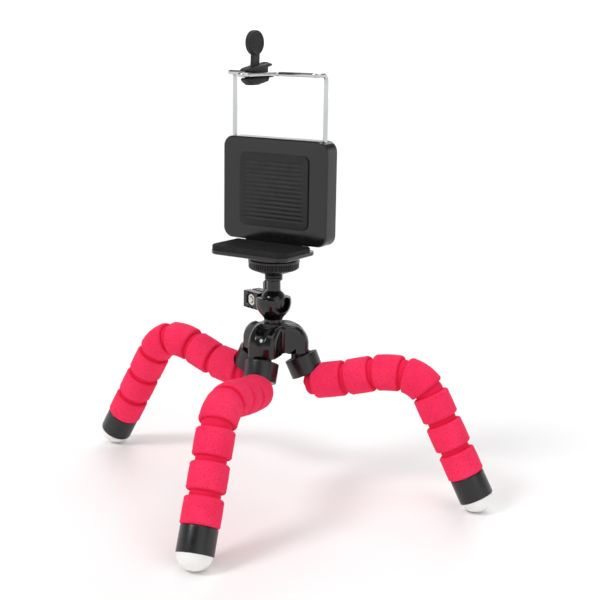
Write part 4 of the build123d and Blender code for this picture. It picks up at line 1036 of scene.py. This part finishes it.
class TRIPOD_OT_clamp_springs(bpy.types.Operator):
    """Springs round the wire's legs, from the shell's top down to the stops.

    A spring's centreline is a helix of eleven turns whose climb is a third slower at
    both ends.
    """

    bl_idname = "tripod.clamp_springs"
    bl_label = "Clamp springs"

    turns: bpy.props.IntProperty(name="Turns", description="Turns of each spring", default=11, min=3)

    def execute(self, context):
        low, high = box_of("clamp_springs")
        wire = 0.6 * MM
        radius = (high[1] - low[1] - wire) / 2
        share = np.linspace(0, 1, self.turns * 24 + 1)
        climb = share - 0.35 * np.sin(FULL_TURN * share) / FULL_TURN
        z = high[2] - wire / 2 - (high[2] - low[2] - wire) * climb
        angle = FULL_TURN * self.turns * share
        y = (low[1] + high[1]) / 2
        inset = radius + wire / 2
        for name, x in (("left_spring", low[0] + inset), ("right_spring", high[0] - inset)):
            path = np.stack((x + radius * np.cos(angle), y + radius * np.sin(angle), z), -1)
            piece = tube(name, path, wire / 2, 12)
            finish_piece(piece, None, "spring", "clamp_springs")
            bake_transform(piece)
        return {"FINISHED"}


def row(origin, x, y, z):
    """Points in metres from an origin and millimetres along the three axes."""
    return np.stack(np.broadcast_arrays(x, y, z), -1) * MM + origin


class TRIPOD_OT_upper_jaw(bpy.types.Operator):
    """Rubber jaw: two leaf-shaped lips above and below the wire's loop, web, strap and round pull tab."""

    bl_idname = "tripod.upper_jaw"
    bl_label = "Upper jaw"

    def lip(self, origin, name, front, back, under, over):
        """Leaf-shaped lip between two lines of height, drawn in to nothing at both tips.

        Stations lie at y = middle + half * cos(phi); the width goes with sin(phi) to the
        power 0.6, and the height with sin(phi) to the power 0.45, so both tips are round.
        """
        phi = np.linspace(0.02, math.pi - 0.02, 61)
        y = (front + back) / 2 + (back - front) / 2 * np.cos(phi)
        low = np.interp(y, *np.transpose(under))
        high = np.interp(y, *np.transpose(over))
        tall = (high - low) / 2 * np.sin(phi) ** 0.45
        wide = 3.4 * np.sin(phi) ** 0.6
        return slab(name, row(origin, 0, y, (low + high) / 2), wide * MM, tall * MM, RIGHT, UP, 3.2)

    def execute(self, context):
        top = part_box("upper_jaw")[1][2]
        # heights here are from the level at which the jaw grips, below the tab's centre
        tab_rise = 15.3
        origin = np.array((AXIS[0], AXIS[1], (top / MM - TAB_RADIUS - tab_rise) * MM))
        # each lip: its front and back tips, then its lower and its upper line as (y, z)
        pieces = [self.lip(origin, *shape) for shape in (
            ("jaw_lower_lip", -25.5, -3.3,
             [(-25.5, -1.0), (-22.2, -2.7), (-14.2, -2.5), (-10.2, -1.7), (-9.9, 0.1), (-3.3, 0.1)],
             [(-25.5, 0.2), (-24.5, 0.5), (-3.3, 0.5)]),
            ("jaw_upper_lip", -26.0, -5.1,
             [(-26.0, 2.9), (-23.6, 2.75), (-6.5, 4.9), (-5.1, 5.5)],
             [(-26.0, 3.9), (-24.0, 4.6), (-8.2, 6.8), (-5.1, 6.4)]))]
        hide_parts("upper_jaw")
        # web between the lips
        y = np.linspace(-22.7, -7.7, 12)
        over, under = np.interp(y, (-23.6, -6.5), (2.75, 4.9)) + 0.6, 0.2
        centres = row(origin, 0, y, (over + under) / 2)
        pieces.append(slab("jaw_web", centres, 0.95 * MM, (over - under) / 2 * MM, RIGHT, UP, 8))
        # strap up to the tab, wider and thicker where it joins the lip
        foot, head = 4.3, 12.2
        z = np.linspace(foot, head, 24)
        half = 2.75 + 1.0 * np.exp(-(z - foot) / 0.9) + 0.4 * np.exp(-(head - z) / 1.2)
        centres = row(origin, 0, -16.65 + 0.25 * (z - foot) / 7.9, z)
        thick = (0.8 + 0.5 * np.exp(-(z - foot) / 0.5)) * MM
        pieces.append(slab("jaw_strap", centres, half * MM, thick, (0, 1, 0), RIGHT, 5))
        # teeth under the lower lip, and three ribs on the upper lip's rear, as (y, z, half length)
        ribs = [(-21.2, -2.6, 2.2), (-19.2, -2.62, 2.4), (-17.2, -2.58, 2.4), (-15.2, -2.5, 2.2),
                (-10.6, 6.35, 1.5), (-9.2, 6.5, 1.4), (-7.8, 6.45, 1.2)]
        for k, (y, z, half) in enumerate(ribs):
            run = np.linspace(-1, 1, 13)
            size = 0.42 * np.clip(1 - run ** 6, 0.05, 1) * MM
            centres = row(origin, run * half, y, z)
            pieces.append(slab(f"jaw_rib_{k + 1}", centres, size, size, (0, 1, 0), UP, 2, 16))
        # the round tab: a raised rim and four rings on each face
        face, raised = 1.32, 1.52
        half = [(face, 0.0)]
        for ring in (0.75, 1.6, 2.45, 3.3):
            half += [(face, ring - 0.3), (raised, ring - 0.12), (raised, ring + 0.12), (face, ring + 0.3)]
        half += [(face, 4.05), (1.6, 4.3), (1.65, 4.6), (1.58, 4.95), (1.25, 5.28), (0.7, 5.42),
                 (0, TAB_RADIUS)]
        half = np.array(half)
        profile = np.concatenate((half * (-1, 1), half[-2::-1])) * MM
        centre = (AXIS[0], AXIS[1] - 16.9 * MM, top - TAB_RADIUS * MM)
        pieces.append(turned("pull_tab", profile, centre, RIGHT))
        for piece in pieces:
            finish_piece(piece, "jaw", "rubber")
        return {"FINISHED"}


# ---- stage

class TRIPOD_OT_stage(bpy.types.Operator):
    """White floor, soft light and the camera at the photograph's angle."""

    bl_idname = "tripod.stage"
    bl_label = "Stage"

    def execute(self, context):
        scene = context.scene
        settings = scene.tripod_stage
        reach = 3.0
        corners = [(-reach, -reach, 0), (reach, -reach, 0), (reach, reach, 0), (-reach, reach, 0)]
        floor = bpy.data.objects.new("floor", bpy.data.meshes.new("floor"))
        floor.data.from_pydata(corners, [], [(0, 1, 2, 3)])
        scene.collection.objects.link(floor)
        material, tree, shader, place = new_material("White acrylic sheet", {"Roughness": 0.35, "IOR": 1.3})
        tint = tuple(settings.floor_colour) + (1.0,)
        shade = tuple(c * 0.98 for c in settings.floor_colour) + (1.0,)
        fleck = two_colours(tree, noise(tree, place, 60.0), "Fac", tint, shade)
        drive(tree, shader, "Base Color", fleck, 2)
        floor.data.materials.append(material)
        # white walls round the table and a darker room above them
        world = bpy.data.worlds.new("studio")
        world.use_nodes = True
        walls = world.node_tree
        direction = add_node(walls, "ShaderNodeTexCoord")
        height = add_node(walls, "ShaderNodeSeparateXYZ", links={"Vector": (direction, "Generated")})
        glow = remap(walls, height, "Z", 0.12, 0.45, 1.15, 0.25)
        walls.links.new(glow.outputs["Result"], walls.nodes["Background"].inputs["Strength"])
        walls.nodes["Background"].inputs["Color"].default_value = linear("#FFFFFF")
        scene.world = world
        scene.view_settings.view_transform = "Standard"
        # wide, far lamps: their light is as strong at the horizon as under the tripod
        for name, toward, width, strength in (
                ("key", (-0.45, -0.85, 1.0), 18, 1.1),
                ("fill", (0.9, -0.4, 0.7), 50, 0.45),
                ("back", (-0.3, 0.8, 0.9), 40, 0.7),
                ("top", (0.1, 0.0, 1.0), 60, 0.95)):
            data = bpy.data.lights.new(name, "SUN")
            data.angle = math.radians(width)
            data.energy = strength
            lamp = bpy.data.objects.new(name, data)
            lamp.rotation_euler = Vector(toward).to_track_quat("Z", "Y").to_euler()
            scene.collection.objects.link(lamp)
        camera = bpy.data.objects.new("camera", bpy.data.cameras.new("camera"))
        camera.data.sensor_width = 36.0
        camera.data.lens = 74.174
        camera.data.clip_start = 0.01
        camera.location = Vector(AXIS) + Vector((settings.camera_x, settings.camera_y, settings.camera_z))
        azimuth, elevation, roll = (math.radians(angle) for angle in (32.934, -12.324, 0.924))
        ahead = Vector((-math.sin(azimuth) * math.cos(elevation), math.cos(azimuth) * math.cos(elevation),
                        math.sin(elevation)))
        level = ahead.to_track_quat("-Z", "Y")
        camera.rotation_euler = (level @ Quaternion((0, 0, 1), roll)).to_euler()
        scene.collection.objects.link(camera)
        scene.camera = camera
        return {"FINISHED"}


class TRIPOD_PT_pieces(bpy.types.Panel):
    """Lists the tripod's pieces and their sizes."""

    bl_label = "Tripod"
    bl_idname = "TRIPOD_PT_pieces"
    bl_space_type = "VIEW_3D"
    bl_region_type = "UI"
    bl_category = "Tripod"

    def draw(self, context):
        for group in ("tripod_legs", "tripod_finish", "tripod_stage"):
            box = self.layout.box()
            settings = getattr(context.scene, group)
            for key in settings.__annotations__:
                box.prop(settings, key)
        for operator in PIECES:
            self.layout.operator(operator.bl_idname)


GROUPS = {"tripod_legs": TRIPOD_PG_legs, "tripod_finish": TRIPOD_PG_finish, "tripod_stage": TRIPOD_PG_stage}
PIECES = (
    TRIPOD_OT_foam_legs, TRIPOD_OT_core_wires, TRIPOD_OT_collars, TRIPOD_OT_caps_and_feet, TRIPOD_OT_hub,
    TRIPOD_OT_ball_head, TRIPOD_OT_clamp_knob, TRIPOD_OT_lock_wheel, TRIPOD_OT_holder, TRIPOD_OT_pads,
    TRIPOD_OT_wire_frame, TRIPOD_OT_clamp_springs, TRIPOD_OT_upper_jaw, TRIPOD_OT_stage,
)


def register():
    for group in (*GROUPS.values(), *PIECES, TRIPOD_PT_pieces):
        bpy.utils.register_class(group)
    for name, group in GROUPS.items():
        setattr(bpy.types.Scene, name, bpy.props.PointerProperty(type=group))


def unregister():
    for name in GROUPS:
        delattr(bpy.types.Scene, name)
    for group in reversed((*GROUPS.values(), *PIECES, TRIPOD_PT_pieces)):
        bpy.utils.unregister_class(group)


def main():
    register()
    make_materials(bpy.context.scene)
    for operator in PIECES:
        _, name = operator.bl_idname.split(".")
        getattr(bpy.ops.tripod, name)()


if __name__ == "__main__":
    main()
